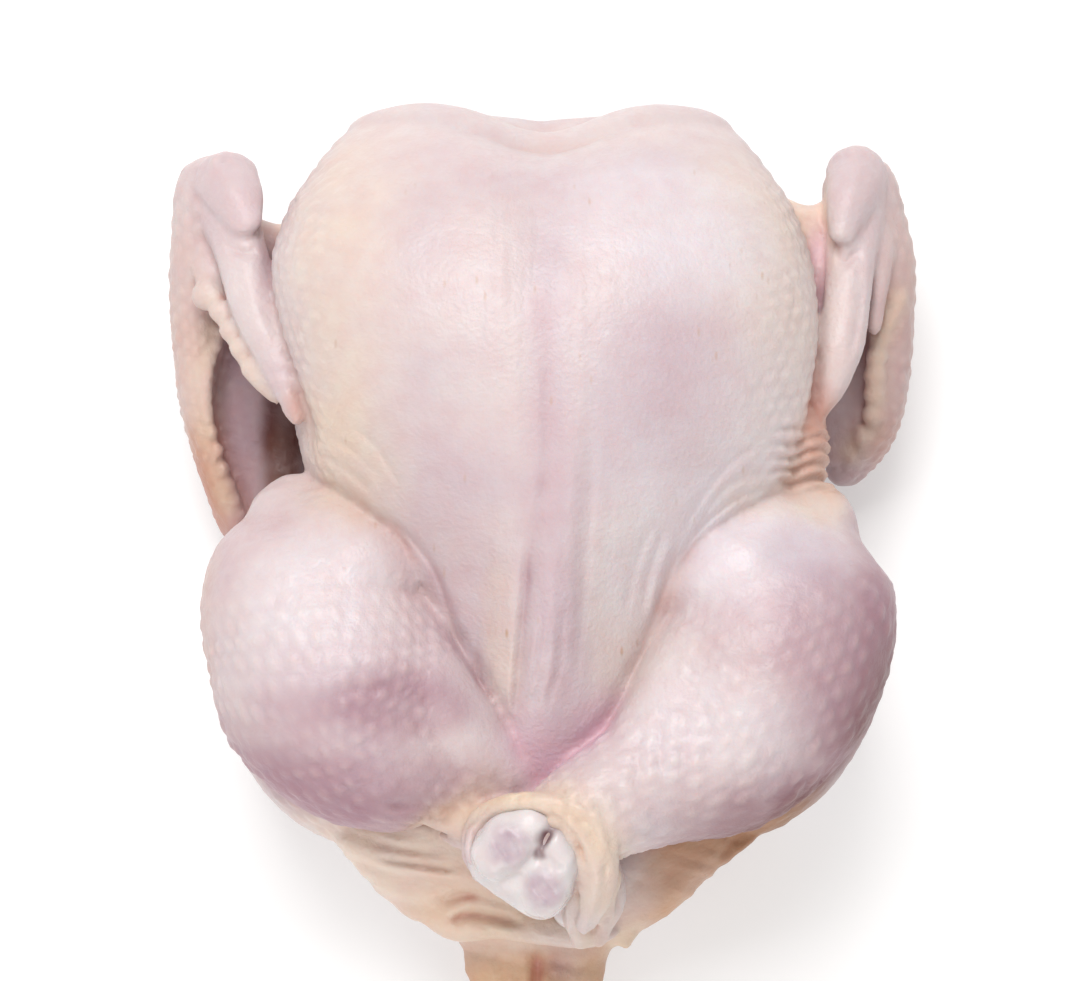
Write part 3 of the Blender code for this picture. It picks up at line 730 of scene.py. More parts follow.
KNEE_STROKES = (
    (((-60, 27), (-52, 21.4), (-44, 14.6)), 1.3, -1.4, BREAST),
    (((-58, 31), (-50, 26), (-41, 16)), 1.2, -1.3, BREAST),
    (((-52, 33), (-44, 26.5), (-36, 14)), 1.2, -1.0, BREAST),
    (((-55.5, 32), (-48, 24), (-40.5, 14.5)), 1.1, 0.8, BREAST),
    (((64, 22.4), (52, 19.4), (44, 13), (39, 6)), 1.3, -1.3, BREAST),
    (((56, 28), (47, 21), (40, 12), (34, 2)), 1.2, -0.9, BREAST),
    (((35, 4), (31, -8), (28, -20)), 1.2, -1.4, BREAST),
    (((31, 6), (27, -6), (24.5, -18)), 1.2, -1.0, BREAST),
    (((27.5, 6), (23, -6), (20.5, -18)), 1.2, -0.7, BREAST),
    (((33, 4), (29, -8), (26, -20)), 1.1, 0.8, BREAST),
)
# Beside each drumstick runs a wide shallow groove with a narrow deep crease along its bottom.
LEFT_LEG_LINE = (
    (-56, 18), (-43, 9.4), (-34.4, 2.4), (-28.4, -6), (-25.6, -15), (-22, -26), (-15.5, -36.5), (-5, -48.6),
)
RIGHT_LEG_LINE = ((61, 17.5), (50, 14), (39.6, 4.6), (33.8, -4.4), (29, -15), (23, -34.6), (13, -47))
LEG_STROKES = (
    (LEFT_LEG_LINE, 3.6, -1.4, BREAST),
    (LEFT_LEG_LINE, 1.3, -2.4, BREAST),
    (RIGHT_LEG_LINE, 3.6, -1.2, BREAST),
    (RIGHT_LEG_LINE, 1.3, -2.2, BREAST),
)
SHANK_STROKES = (
    (((31, -43), (29, -51), (30, -58)), 1.5, -0.8, TOP),
    (((36, -40), (35, -49), (36, -57)), 1.5, -0.8, TOP),
    (((41.5, -39), (41, -48), (42, -56)), 1.5, -0.7, TOP),
    (((25, -46), (23.5, -53), (24.5, -60)), 1.4, -0.8, TOP),
    (((28, -33), (36, -31), (46, -30), (56, -30)), 1.8, -0.6, TOP),
    (((-24, -44), (-33, -38), (-44, -36), (-54, -37)), 1.8, -0.8, TOP),
    (((-26, -50), (-36, -45), (-48, -43)), 1.6, -0.6, TOP),
)
BELLY_STROKES = (
    (((-42, -68), (-33, -66.8), (-24, -69)), 2.2, -4.4, TOP),
    (((-52, -71), (-40, -73), (-26, -75)), 1.3, -2.4, TOP),
    (((-48, -74.6), (-36, -76.6), (-24, -78.6)), 1.3, -1.6, TOP),
    (((-46, -78.6), (-34, -80.6), (-20, -83.4)), 1.4, -2.6, TOP),
    (((-43, -83), (-34, -84.6), (-22, -86.6)), 1.3, -1.6, TOP),
    (((-31, -91.4), (-26, -90), (-20.9, -89), (-14, -89.6), (-6, -91), (3, -94)), 1.5, -3.4, TOP),
    (((-26, -95.6), (-20, -93.6), (-13, -94.4), (-5, -96)), 1.4, -2.6, TOP),
    (((-22, -99.6), (-14, -97.6), (-4, -99.4)), 1.1, -1.2, 42),
    (((-44, -74), (-32, -75.6), (-23, -77.4)), 1.6, 0.9, TOP),
    (((-40, -81.4), (-28, -83.4), (-16, -86)), 1.6, 0.9, TOP),
    (((-28, -93), (-20, -91.6), (-8, -93.4)), 1.5, 1.3, TOP),
    (((60, -66), (48, -72), (36, -79), (26, -88)), 6.0, -4.0, 34),
    (((44, -66), (34, -73), (25, -82), (21, -90)), 1.4, -1.6, 36),
    (((-3, -101), (-2, -106), (-3, -121)), 1.4, -2.4, 34),
    (((-14, -102), (-12, -108), (-13, -114)), 1.6, -0.9, 34),
    (((-9, -103), (-8, -110), (-8, -118)), 1.3, -0.6, 34),
    (((6, -103), (6, -110), (4, -118)), 1.5, -0.9, 34),
    (((12, -102), (12, -108), (10, -116)), 1.3, -0.7, 34),
)
WING_STROKES = (
    (((-86.5, 84.5), (-82.5, 82), (-78.5, 81), (-75.5, 82.5)), 1.3, -1.4, TOP),
    (((-87, 73), (-85, 68), (-82, 62), (-78.4, 56), (-75, 51), (-71.6, 46)), 0.8, -1.8, TOP),
    (((-88.5, 89), (-87, 80), (-86, 72)), 1.2, -1.1, TOP),
    (((75, 82.5), (77, 80.5), (79.4, 78.5), (81.6, 80.5), (84, 82.5)), 1.3, -1.7, TOP),
    (((83.4, 84), (85.6, 90), (87, 96)), 1.3, -1.4, TOP),
    (((87.5, 88), (88.5, 78), (86, 64)), 1.2, -1.0, TOP),
    (((85.5, 84), (86, 74), (84.5, 62)), 1.3, 0.9, TOP),
    (((84.6, 74), (83, 62), (80.5, 52)), 1.1, -1.1, TOP),
)
SLEEVE_STROKES = (
    (((0, -66.5), (5.4, -70.2), (9, -77.4), (10.8, -85), (9.8, -93)), 0.9, -1.5, 88),
    (((5, -65), (11.7, -71), (14.9, -79), (15.2, -87), (13, -95)), 0.9, -1.3, 86),
    (((7, -62.5), (14, -67.5), (18.4, -75), (18.8, -82)), 1.1, -1.2, 84),
    (((-15, -66.8), (-8, -64.4), (0, -63.6), (7, -66.6)), 0.9, -1.2, 88),
    (((-30, -68.6), (-24, -70.4), (-18, -71.6), (-12, -71)), 1.0, -1.4, 70),
    (((14, -61), (20, -66), (23, -73)), 1.4, -0.8, 88),
    (((20, -58), (26, -64), (28, -71)), 1.6, -0.6, 88),
    (((12, -90), (12.2, -96), (12.2, -101)), 1.0, -1.8, 64),
)
strokes = BREAST_STROKES + KNEE_STROKES + LEG_STROKES + SHANK_STROKES
strokes += BELLY_STROKES + WING_STROKES + SLEEVE_STROKES
points = pressed(skin, points, strokes)
write_points(skin, points)
print(len(strokes), "strokes laid; top at", round(points[:, 2].max(), 1), "mm")

# %% [markdown]
# ## Grain: random, but the same every time
#
# Skin is never perfectly smooth or evenly bumpy. Value noise gives each corner of a grid a number that
# depends only on where the corner is, and blends those numbers smoothly in between. We use it to bend rows
# of bumps, to let wrinkles come and go, and later to vary the colour.


# %% Value noise
CORNER_TURNS = np.array((127.1, 311.7, 74.7))
SINE_SIZE = 43758.5453


def grain(places, size, seed=0.0):
    """Numbers from 0 to 1: at each corner of a grid the fraction of a large sine, blended between the corners
    with the curve 3t^2 - 2t^3."""
    cell = places / size
    corner = np.floor(cell)
    t = smooth_step(cell - corner)
    total = np.zeros(len(places))
    for step in np.ndindex(*(2,) * places.shape[1]):
        share = np.where(step, t, 1 - t).prod(1)
        spread = (corner + step) @ CORNER_TURNS[: places.shape[1]] + seed
        total += share * np.mod(np.sin(spread) * SINE_SIZE, 1)
    return total


sample = grain(points[::997], 10.0)
print("grain runs from", round(sample.min(), 2), "to", round(sample.max(), 2))

# %% [markdown]
# ## Goose bumps
#
# Feathers grow in slanting rows, so a plucked bird shows a honeycomb of small domes four to six millimetres
# apart, plainest on the legs and the wings. We give each point of a limb two coordinates, how far along it
# lies and how far round, and raise a dome wherever those two come near a point of the honeycomb. Grain
# bends the rows and makes some domes flatter.

# %% Where a point lies on a limb
LIMB_STEPS = 60
BUMP_SPACING = 4.6
BELLY_BUMP_SPACING = 4.2
ROW_ANGLE = 0.3
# The level of a dome's side that counts as no height at all.
DOME_FOOT = 0.42


def on_limb(points, places, sizes):
    """How far along, how far round (zero at the top), and a share: 1 on the limb's skin and 0 off it."""
    line = along(places, LIMB_STEPS)
    half = along(sizes, LIMB_STEPS)
    tangent = np.gradient(line, axis=0)
    length = np.linalg.norm(np.diff(line, axis=0), axis=1).sum()
    tangent /= np.linalg.norm(tangent, axis=1)[:, None]
    side = np.cross(tangent, (0.0, 0.0, 1.0))
    side /= np.linalg.norm(side, axis=1)[:, None]
    lift = np.cross(side, tangent)
    reach = 1.3 * half.max()
    chosen, away, place = near_line(points, line, reach)
    row = np.clip(np.rint(place * (LIMB_STEPS - 1)).astype(int), 0, LIMB_STEPS - 1)
    out = points[chosen] - line[row]
    across = (out * side[row]).sum(1) / half[row, 0]
    upward = (out * lift[row]).sum(1) / half[row, 1]
    offset = np.hypot(across, upward)
    far, around, share = np.zeros(len(points)), np.zeros(len(points)), np.zeros(len(points))
    far[chosen] = place * length
    around[chosen] = np.arctan2(across, upward) * half[row].mean(1)
    share[chosen] = smooth_step((offset - 0.72) / 0.14) * smooth_step((1.16 - offset) / 0.1)
    return far, around, share


def domes(u, v, spacing):
    """A honeycomb of soft domes from 0 to 1: three cosine waves whose crests cross at sixty degrees."""
    turn = 2 * math.pi / (spacing * math.sqrt(0.75))
    angles = (ROW_ANGLE, ROW_ANGLE + math.pi / 3, ROW_ANGLE - math.pi / 3)
    waves = sum(np.cos(turn * (u * math.cos(a) + v * math.sin(a))) for a in angles)
    return (waves + 1.5) / 4.5


def wander(points, coarse_seed, fine_seed):
    """Millimetres by which a row of domes leaves its straight line: coarse grain and fine grain together."""
    return 2.4 * (grain(points, 16.0, coarse_seed) - 0.5) + 1.7 * (grain(points, 6.0, fine_seed) - 0.5)


def goose_bumps(points):
    """Signed height of the domes, in shares of the tallest: domes stand above zero, the gaps lie below it,
    and skin without bumps is at zero. Each area is laid over the last by its own share."""
    x, y, z = points.T
    bend = wander(points, 1.0, 7.0)
    sway = wander(points, 3.0, 8.0)
    side = smooth_step((np.abs(x) - 44) / 18) * smooth_step((75 - np.abs(x)) / 4)
    side = side * smooth_step((y - 4) / 16) * smooth_step((z - 30) / 10)
    below = smooth_step((44 - z) / 10)
    areas = [(y + bend, z + sway, BUMP_SPACING, 0.75 * side)]
    areas.append((y + bend, x + sway, BELLY_BUMP_SPACING, 0.6 * below))
    for tube in (LEFT_FOREARM, RIGHT_FOREARM, LEFT_THIGH, RIGHT_THIGH, LEFT_DRUMSTICK, RIGHT_DRUMSTICK):
        u, v, share = on_limb(points, *tube)
        rear = 1.0 if tube in WINGS else np.clip((8 - y) / 36, 0.05, 1)
        clear = 0.8 if tube in WINGS else smooth_step((z - breast_height(points[:, :2]) - 1) / 6)
        long_bump = 1.0 if tube in WINGS else 1.25
        areas.append(((u + bend) / long_bump, v + sway, BUMP_SPACING, share * rear * clear))
    total = np.zeros(len(points))
    for u, v, spacing, share in areas:
        total += share * ((domes(u, v, spacing) - DOME_FOOT) - total)
    patchy = 0.35 + 0.65 * smooth_step((grain(points, 13.0, 4.0) - 0.12) / 0.5)
    return total * patchy * (0.45 + 1.1 * grain(points, 5.0, 2.0))


BUMP_HEIGHT = 0.66
write_points(skin, points)
normals = read_normals(skin)
raised = goose_bumps(points)
points += normals * (BUMP_HEIGHT * raised)[:, None]
print("bumps on", round(100 * float((np.abs(raised) > 0.1).mean())), "% of the skin")

# %% [markdown]
# ## Fine wrinkles
#
# Loose skin gathers in fine wrinkles: lengthwise on the yellow sleeve, round the outer sides of the
# drumsticks, and across the belly. Stretched grain does it: long cells one way and short cells the other
# give streaks, and we push the skin out along them. Beside the right hand the breast's skin is gathered in
# a few plainer folds, which a cosine makes.


# %% Streaks of grain along each limb
def streaks(u, v, long_cell, short_cell, seed):
    """Grain in cells that are long along u and short along v, from -1 to 1."""
    return 2 * grain(np.stack([u / long_cell, v / short_cell], axis=1), 1.0, seed) - 1


FOLD_SPACING = 3.3


def wrinkles(points):
    """Height of the fine wrinkles in millimetres."""
    x, y, z = points.T
    total = 0.35 * (grain(points, 7.0, 5.0) - 0.5) + 0.16 * (grain(points, 3.0, 6.0) - 0.5)
    for tube, height, seed in ((LEFT_DRUMSTICK, 0.26, 11.0), (RIGHT_DRUMSTICK, 0.22, 12.0)):
        u, v, share = on_limb(points, *tube)
        outer = 0.15 + 0.85 * smooth_step((70 - z) / 18)
        total += height * share * outer * streaks(u, v, 16.0, 1.9, seed)
        total += 0.16 * share * (1 - outer) * streaks(v, u, 9.0, 1.8, seed + 5)
    u, v, share = on_limb(points, *SLEEVE_CUFF)
    total += 1.0 * share * streaks(u, v, 16.0, 2.4, 13.0)
    belly = smooth_step((-64 - y) / 8) * smooth_step((56 - z) / 8)
    total += 0.35 * belly * streaks(x + 0.25 * y, y + 0.22 * x, 22.0, 2.2, 14.0)
    gathered = smooth_step((x - 57) / 8) * smooth_step((78 - x) / 2) * smooth_step((z - 44) / 6)
    gathered = gathered * smooth_step((38 - y) / 8) * smooth_step((y - 15) / 5)
    lean = y - 0.22 * x + 3.0 * (grain(points, 9.0, 20.0) - 0.5)
    total += 0.75 * gathered * np.cos(2 * math.pi * lean / FOLD_SPACING)
    keel = smooth_step((24 - np.abs(x)) / 14) * smooth_step((z - 70) / 10)
    total += 0.24 * keel * streaks(y, x, 34.0, 1.8, 15.0)
    for tube, seed in ((LEFT_HAND, 16.0), (RIGHT_HAND, 17.0), (LEFT_THUMB, 18.0), (RIGHT_THUMB, 19.0)):
        u, v, share = on_limb(points, *tube)
        total += 0.25 * share * streaks(u, v, 12.0, 2.2, seed)
    return total


points += normals * wrinkles(points)[:, None]
points[:, 2] = np.maximum(points[:, 2], 0.0)
points = relaxed(points, links, 0.25, 1)
write_points(skin, points)
print("wrinkled skin spans", np.round(np.ptp(points, axis=0), 1), "mm")

# %% [markdown]
# ## Fewer triangles where nothing happens
#
# Collapsing edges in order of how little they matter keeps the bumps and creases and thins the flat
# underside. The shape stays the same to a few hundredths of a millimetre.

# %% Thin the mesh
SKIN_TRIANGLES = 192000


def thinned(thing, triangles):
    """Triangles first, then edge collapse down to the number asked for."""
    whole = thing.modifiers.new("triangles", "TRIANGULATE")
    whole.quad_method = "SHORTEST_DIAGONAL"
    settle(thing)
    fewer = thing.modifiers.new("fewer", "DECIMATE")
    fewer.decimate_type = "COLLAPSE"
    fewer.use_collapse_triangulate = True
    fewer.ratio = min(1.0, triangles / len(thing.data.polygons))
    settle(thing)


thinned(skin, SKIN_TRIANGLES)
points = read_points(skin)
links = neighbours(skin)
print("skin:", len(skin.data.polygons), "triangles")

# %% [markdown]
# ## Painting the skin
#
# Chicken skin is nearly colourless. What we see is mostly what lies beneath it: pink meat, cream fat, lilac
# where it lies thin over bone. Some washes are painted light and shade: the orange in the creases and the
# brown-mauve inside the wing are painted shade, plum and mauve darken the undersides of the legs as painted
# shade, and a near-white painted highlight lies on the tops of the legs and the breast. So we paint like a
# watercolourist, one thin wash over another, each with a soft edge, and store one colour per point in the
# mesh.


# %% The palette
# The skin gets more light than a white page, so its paint is only this share of the colour that is seen.
PAINT_STRENGTH = 0.7


def paint(red, green, blue):
    """Light-linear paint from the 0-255 numbers of the colour as it looks in the light."""
    share = np.array((red, green, blue)) / 255
    return PAINT_STRENGTH * np.where(share <= 0.04045, share / 12.92, ((share + 0.055) / 1.055) ** 2.4)


MILK = paint(238, 223, 221)
CREAM = paint(248, 231, 218)
BUTTER = paint(255, 234, 217)
# Near-white painted light: a painted highlight on the tops of the drumsticks and the breast, and lift in the
# right wing's shaded web.
PAINTED_LIGHT = paint(246, 236, 240)
ROSE = paint(224, 198, 203)
LILAC = paint(216, 199, 209)
BLUSH = paint(244, 208, 222)
PLUM = paint(188, 148, 160)
FAT = paint(246, 222, 196)
PEACH = paint(236, 198, 174)
AMBER = paint(222, 172, 130)
CORAL = paint(212, 142, 124)
# Painted shade: mauve, for the right drumstick's underside.
MAUVE_SHADE = paint(140, 92, 94)
# Brown: painted shadow under the left drumstick, painted shade in the left wing's gap, and on the flank both
# skin colour and painted shade.
UMBER = paint(146, 100, 75)
# Painted shade for deep gaps: between the left wing and the body, and under the right joint.
DEEP_SHADE = paint(118, 58, 56)
print("milk is", np.round(MILK, 2))


# %% Soft patches and strokes
def patch(points, centre, radii):
    """A smooth step of the scaled distance: 1 in the middle of an ellipsoid, 0.5 at its edge, 0 at one and a
    half times its size."""
    away = np.linalg.norm((points - np.array(centre, float)) / np.array(radii, float), axis=1)
    return smooth_step(1.5 - away)


def stroke(points, places, width):
    """A bell of the distance to a line through the places."""
    line = along(places, STROKE_STEPS)
    chosen, away, _ = near_line(points, line, 3 * width)
    wash = np.zeros(len(points))
    wash[chosen] = bell(away, width)
    return wash


def mixed(colour, wash, share):
    """Each point's colour taken towards the wash by its own share."""
    return colour * (1 - share) + wash * share


# Each patch: colour, middle, radii, strength.
PATCHES = (
    (CREAM, (-50, 70, 78), (18, 48, 30), 0.6),
    (CREAM, (58, 66, 78), (20, 48, 34), 0.65),
    (FAT, (-52, 64, 74), (12, 44, 26), 0.25),
    (FAT, (-48, 26, 74), (20, 20, 20), 0.45),
    (MILK, (-14, 60, 104), (20, 34, 20), 0.5),
    (LILAC, (28, 40, 102), (20, 26, 20), 0.5),
    (ROSE, (38, 44, 98), (16, 26, 18), 0.4),
    (ROSE, (-24, -8, 90), (14, 26, 18), 0.6),
    (CREAM, (21, -10, 86), (11, 28, 18), 0.45),
    # Painted light: near-white lifts the breast right of the keel.
    (PAINTED_LIGHT, (24, 0, 90), (12, 30, 18), 0.6),
    (FAT, (-11, -18, 82), (5, 26, 14), 0.3),
    (BLUSH, (7, -50, 62), (22, 15, 18), 0.95),
    (MILK, (-66, -14, 86), (16, 20, 16), 0.6),
    (ROSE, (-50, -38, 88), (24, 16, 16), 0.6),
    # Painted shade: plum on the lower and outer sides of the left drumstick.
    (PLUM, (-48, -62, 66), (36, 14, 24), 0.9),
    (PLUM, (-72, -50, 60), (18, 16, 26), 0.4),
    (PLUM, (-42, -40, 84), (24, 9, 14), 0.75),
    (PEACH, (-94, -14, 54), (9, 40, 26), 0.4),
    # Painted highlight: near-white on the tops of the right drumstick and its shank.
    (PAINTED_LIGHT, (56, 2, 88), (26, 18, 20), 1.0),
    (PAINTED_LIGHT, (36, -44, 94), (22, 14, 16), 0.6),
    (CREAM, (54, 15, 76), (16, 6, 12), 0.9),
    (CREAM, (70, 14, 64), (10, 8, 12), 0.8),
    # Painted highlight on the left drumstick's top; painted light on the right side of the breast.
    (PAINTED_LIGHT, (-60, -14, 86), (18, 22, 16), 0.6),
    (PAINTED_LIGHT, (36, 84, 98), (30, 22, 16), 0.7),
    (PAINTED_LIGHT, (50, 30, 80), (18, 34, 24), 0.5),
    (LILAC, (68, -2, 82), (12, 10, 16), 0.5),
    (ROSE, (56, -22, 92), (18, 14, 14), 0.5),
    # Painted shade: plum and mauve on the outer and lower sides of the right drumstick, turned from the
    # light.
    (PLUM, (76, -26, 80), (22, 22, 22), 0.55),
    (PLUM, (92, -18, 64), (13, 30, 30), 0.85),
    (PLUM, (84, -42, 62), (24, 24, 28), 0.95),
    (MAUVE_SHADE, (88, -44, 56), (20, 26, 26), 0.95),
    (PLUM, (52, -64, 64), (40, 14, 22), 0.95),
    (MAUVE_SHADE, (56, -66, 58), (44, 13, 22), 0.95),
    # Painted shade: plum low on the left drumstick.
    (PLUM, (-60, -60, 64), (30, 16, 24), 0.8),
    (AMBER, (-2, -110, 26), (30, 14, 18), 0.95),
    (FAT, (-12, -108, 34), (8, 6, 10), 0.25),
    (FAT, (9, -112, 34), (7, 6, 10), 0.25),
    (BUTTER, (-30, -80, 42), (38, 24, 18), 1.0),
    (PEACH, (-10, -84, 44), (24, 14, 12), 0.6),
    (PEACH, (-28, -96, 36), (18, 8, 12), 0.5),
    (FAT, (-12, -94, 44), (26, 8, 8), 0.6),
    # Painted shadow: a thin brown strip in the crease under the left drumstick.
    (UMBER, (-33, -68, 52), (10, 2.6, 8), 0.9),
    (AMBER, (42, -80, 30), (34, 26, 18), 0.9),
    # Peach-brown flank skin, darkened further as painted shade under the right drumstick.
    (UMBER, (46, -71, 38), (34, 15, 16), 0.9),
    (AMBER, (44, -72, 42), (30, 12, 14), 0.4),
    (PEACH, (34, -84, 34), (20, 8, 10), 0.5),
    (FAT, (22, -99, 32), (6, 7, 7), 0.9),
    # Painted shade: a deep spot in the gap under the right joint.
    (DEEP_SHADE, (2, -73.4, 78), (3.6, 3.6, 14), 1.0),
    (ROSE, (-84, 96, 56), (14, 16, 14), 0.5),
    (ROSE, (83, 98, 56), (14, 16, 14), 0.4),
    (MILK, (-76, 66, 62), (8, 18, 10), 0.8),
    (PEACH, (-94, 56, 36), (9, 44, 18), 0.45),
    (PEACH, (94, 62, 34), (12, 42, 20), 0.5),
    (CORAL, (-90, 22, 24), (10, 18, 18), 0.9),
    (CORAL, (88, 34, 22), (14, 14, 18), 0.3),
    (ROSE, (-80, 42, 24), (8, 36, 22), 0.9),
    # Painted shade: plum along the left wing's web and deep shade beside the body, in the gap between wing
    # and body.
    (PLUM, (-83, 40, 26), (5, 30, 14), 0.4),
    (DEEP_SHADE, (-71, 34, 26), (5.6, 26, 22), 1.0),
    (BUTTER, (-71, 86, 48), (8, 14, 10), 0.8),
    # Painted shade: brown low in the gap between the left wing and the body.
    (UMBER, (-71, 26, 24), (5, 14, 18), 0.5),
    # Painted light: near-white lifts the shaded web of the right wing, under its rose.
    (PAINTED_LIGHT, (80, 48, 26), (8, 26, 20), 0.6),
    (ROSE, (80, 48, 26), (8, 26, 20), 0.6),
    (PLUM, (93, 60, 38), (8, 22, 16), 0.35),
    (BUTTER, (70, 86, 50), (9, 20, 12), 1.0),
    (BLUSH, (73, 76, 50), (4, 14, 10), 0.7),
    (PEACH, (66, 28, 54), (15, 15, 18), 0.85),
    (PEACH, (70, 27, 52), (14, 13, 14), 0.6),
    (CORAL, (68, 34, 58), (10, 12, 12), 0.5),
    (CORAL, (69, 44, 54), (6, 14, 14), 0.5),
    (PLUM, (-74, 72, 50), (4, 20, 14), 0.7),
)
SLEEVE_LINE = (
    (-30, -68, 66), (-19, -69, 74), (-15, -66, 81), (-6, -64, 86), (5, -67, 89), (13, -76, 86), (14, -87, 76),
)
# Each stroke: colour, places, half width, strength.
STROKES = (
    (LILAC, ((0.5, 95, 104), (1, 60, 107), (2, 20, 105), (3, 0, 99), (4, -20, 90), (5, -45, 72)), 6.0, 0.5),
    (ROSE, ((0, 60, 107), (1, 20, 105), (2, 0, 99), (3, -20, 90), (4, -45, 72)), 5.0, 0.8),
    # Painted shade: a narrow plum line in the keel's crease.
    (PLUM, ((-1, 16, 104), (-3, 3, 98), (-4.5, -12, 93), (-6.5, -28, 82), (-9, -48, 66)), 1.5, 0.5),
    (BLUSH, ((2, -10, 94), (0, -26, 84), (-3, -38, 76)), 3.0, 0.5),
    (FAT, SLEEVE_LINE, 7.0, 0.9),
    (FAT, ((15, -84, 72), (13, -92, 64), (12, -100, 54)), 6.0, 0.9),
    (PLUM, ((16, -88, 70), (15, -94, 64), (14, -100, 56)), 1.8, 0.5),
    # Painted shade: coral lines in the creases beside the knees.
    (CORAL, ((-56, 30, 66), (-48, 22, 72), (-40, 12, 76), (-34, 0, 76)), 2.6, 0.4),
    (CORAL, ((66, 22, 62), (54, 18, 70), (44, 10, 76), (36, -2, 76), (30, -14, 74)), 2.4, 0.35),
    # Painted shadow: plum where the left drumstick's inner edge lies on the breast.
    (PLUM, ((-29, -6, 78), (-26, -16, 78), (-22, -27, 76), (-16, -37, 72), (-6, -49, 66)), 2.4, 0.5),
    (FAT, ((-90, 71.5, 53), (-83, 57.5, 59), (-75, 45.5, 61), (-71, 42.5, 61)), 4.0, 0.5),
    # Painted shade: a coral line in the crease along the left hand.
    (CORAL, ((-86, 70, 55), (-82, 62, 58), (-77, 54, 60), (-72.5, 47, 61.5)), 1.0, 0.7),
    (FAT, ((-90, 64, 40), (-92, 50, 39), (-91, 34, 36), (-86, 17, 28)), 3.6, 0.6),
    (AMBER, ((-92, 36, 30), (-90, 28, 28), (-85, 15, 22)), 5.0, 0.5),
    (CORAL, ((-65, 37, 67), (-66.5, 42, 67)), 2.2, 0.6),
    # Painted shade: coral lines in the belly's creases.
    (CORAL, ((-31, -91.4, 45), (-21, -89, 46), (-14, -89.6, 46), (3, -94, 46)), 1.1, 0.7),
    (CORAL, ((-26, -95.6, 43), (-20, -93.6, 44), (-5, -96, 44)), 1.0, 0.5),
    (CORAL, ((-44, -77, 44), (-32, -79.4, 46), (-20, -82.4, 47)), 0.9, 0.45),
    (CORAL, ((-49, -71.4, 44), (-38, -73.4, 47), (-26, -76, 49)), 0.9, 0.45),
    (PEACH, ((5.4, -70.2, 88), (9, -77.4, 87), (10.8, -85, 82), (9.8, -93, 70)), 1.0, 0.6),
    (PEACH, ((11.7, -71, 86), (14.9, -79, 84), (15.2, -87, 78), (13, -95, 66)), 1.0, 0.6),
    (PEACH, ((14, -67.5, 84), (18.4, -75, 81), (18.8, -82, 78)), 1.2, 0.5),
    (CORAL, ((73.5, 39, 61), (74.5, 43, 61)), 2.4, 0.3),
    (FAT, ((94, 71, 45), (89, 55, 44), (88, 41, 38), (83, 31, 28)), 4.0, 0.6),
    # Painted shade: coral in the tail's crease.
    (CORAL, ((-3, -101, 34), (-2, -107, 34), (-3, -118, 33)), 1.8, 0.7),
    (PLUM, ((3, -102, 34), (4, -107, 34)), 4.0, 0.5),
)


def painted(points):
    """Milk skin with broad clouds of rose and lilac, then every wash in turn, mixed in by its own share."""
    cloud = grain(points, 24.0, 21.0)
    haze = grain(points, 15.0, 24.0)
    speck = grain(points, 5.0, 22.0)
    share = np.clip(0.2 + 0.9 * (cloud - 0.4) + 0.3 * (speck - 0.5), 0, 1)[:, None]
    colour = mixed(MILK, ROSE, share)
    share = np.clip(0.9 * (haze - 0.45), 0, 0.6)[:, None]
    colour = mixed(colour, LILAC, share)
    washes = [(wash, patch(points, centre, radii), amount) for wash, centre, radii, amount in PATCHES]
    washes += [(wash, stroke(points, places, width), amount) for wash, places, width, amount in STROKES]
    broken = 0.7 + 0.6 * grain(points, 7.0, 25.0)
    for wash, weight, amount in washes:
        colour = mixed(colour, wash, np.clip(weight * amount * broken, 0, 1)[:, None])
    return colour


colour = painted(points)
print("mean colour", np.round(colour.mean(0), 2))

# %% [markdown]
# ## Painted shade in creases and between bumps, and pale bumps
#
# A crease is painted darker and warmer, as painted shade where the skin folds in, and the gaps between goose
# bumps on the upper skin are painted darker as shade too. The top of a goose bump, stretched thin over a spot
# of fat, looks paler. Both can be read from the mesh: how far a point lies under the smoothed surface says
# how deep it sits in a crease.

# %% Paint shade into the creases and between the bumps, and pale the bumps
ROUNDS_FOR_HOLLOWS = 30
CREASE_SHADE_TINT = np.array((0.88, 0.68, 0.64))
CREASE_SHADE_SHARE = 0.55
CREASE_STARTS = 0.1
CREASE_DEEPENS = 1.3
PALE_SHARE = 0.17
GAP_SHADE_SHARE = 0.2


def hollowness(points, normals, links):
    """Millimetres by which the smoothed surface stands over each point: positive in a crease."""
    return ((relaxed(points, links, HALF_WAY, ROUNDS_FOR_HOLLOWS) - points) * normals).sum(1)


normals = read_normals(skin)
hollow = hollowness(points, normals, links)
raised = goose_bumps(points)
# Painted shade: the deeper a point sits in a crease, the darker and warmer its colour.
crease_shade = (CREASE_SHADE_SHARE * np.clip((hollow - CREASE_STARTS) / CREASE_DEEPENS, 0, 1))[:, None]
colour = mixed(colour, colour * CREASE_SHADE_TINT, crease_shade)
above = smooth_step((points[:, 2] - 16) / 20)
pale = (PALE_SHARE * np.clip(raised, 0, 1) * above)[:, None]
colour = mixed(colour, 1.04 * CREAM, pale)
# Painted shade: the gaps between goose bumps darkened towards plum.
dark = (GAP_SHADE_SHARE * np.clip(-raised, 0, 1) * above)[:, None]
colour = mixed(colour, colour * PLUM / MILK, dark)
colour = np.clip(colour, 0.02, 0.9)
print("deepest crease", round(hollow.max(), 2), "mm")


# %% Store the colour in the mesh and bring the skin home
def store_colour(thing, colour, marks):
    """One colour per point, in an attribute that the material reads. Its alpha is the marks' share."""
    layer = thing.data.color_attributes.new("paint", "FLOAT_COLOR", "POINT")
    layer.data.foreach_set("color", np.column_stack([colour, marks]).astype(np.float32).ravel())


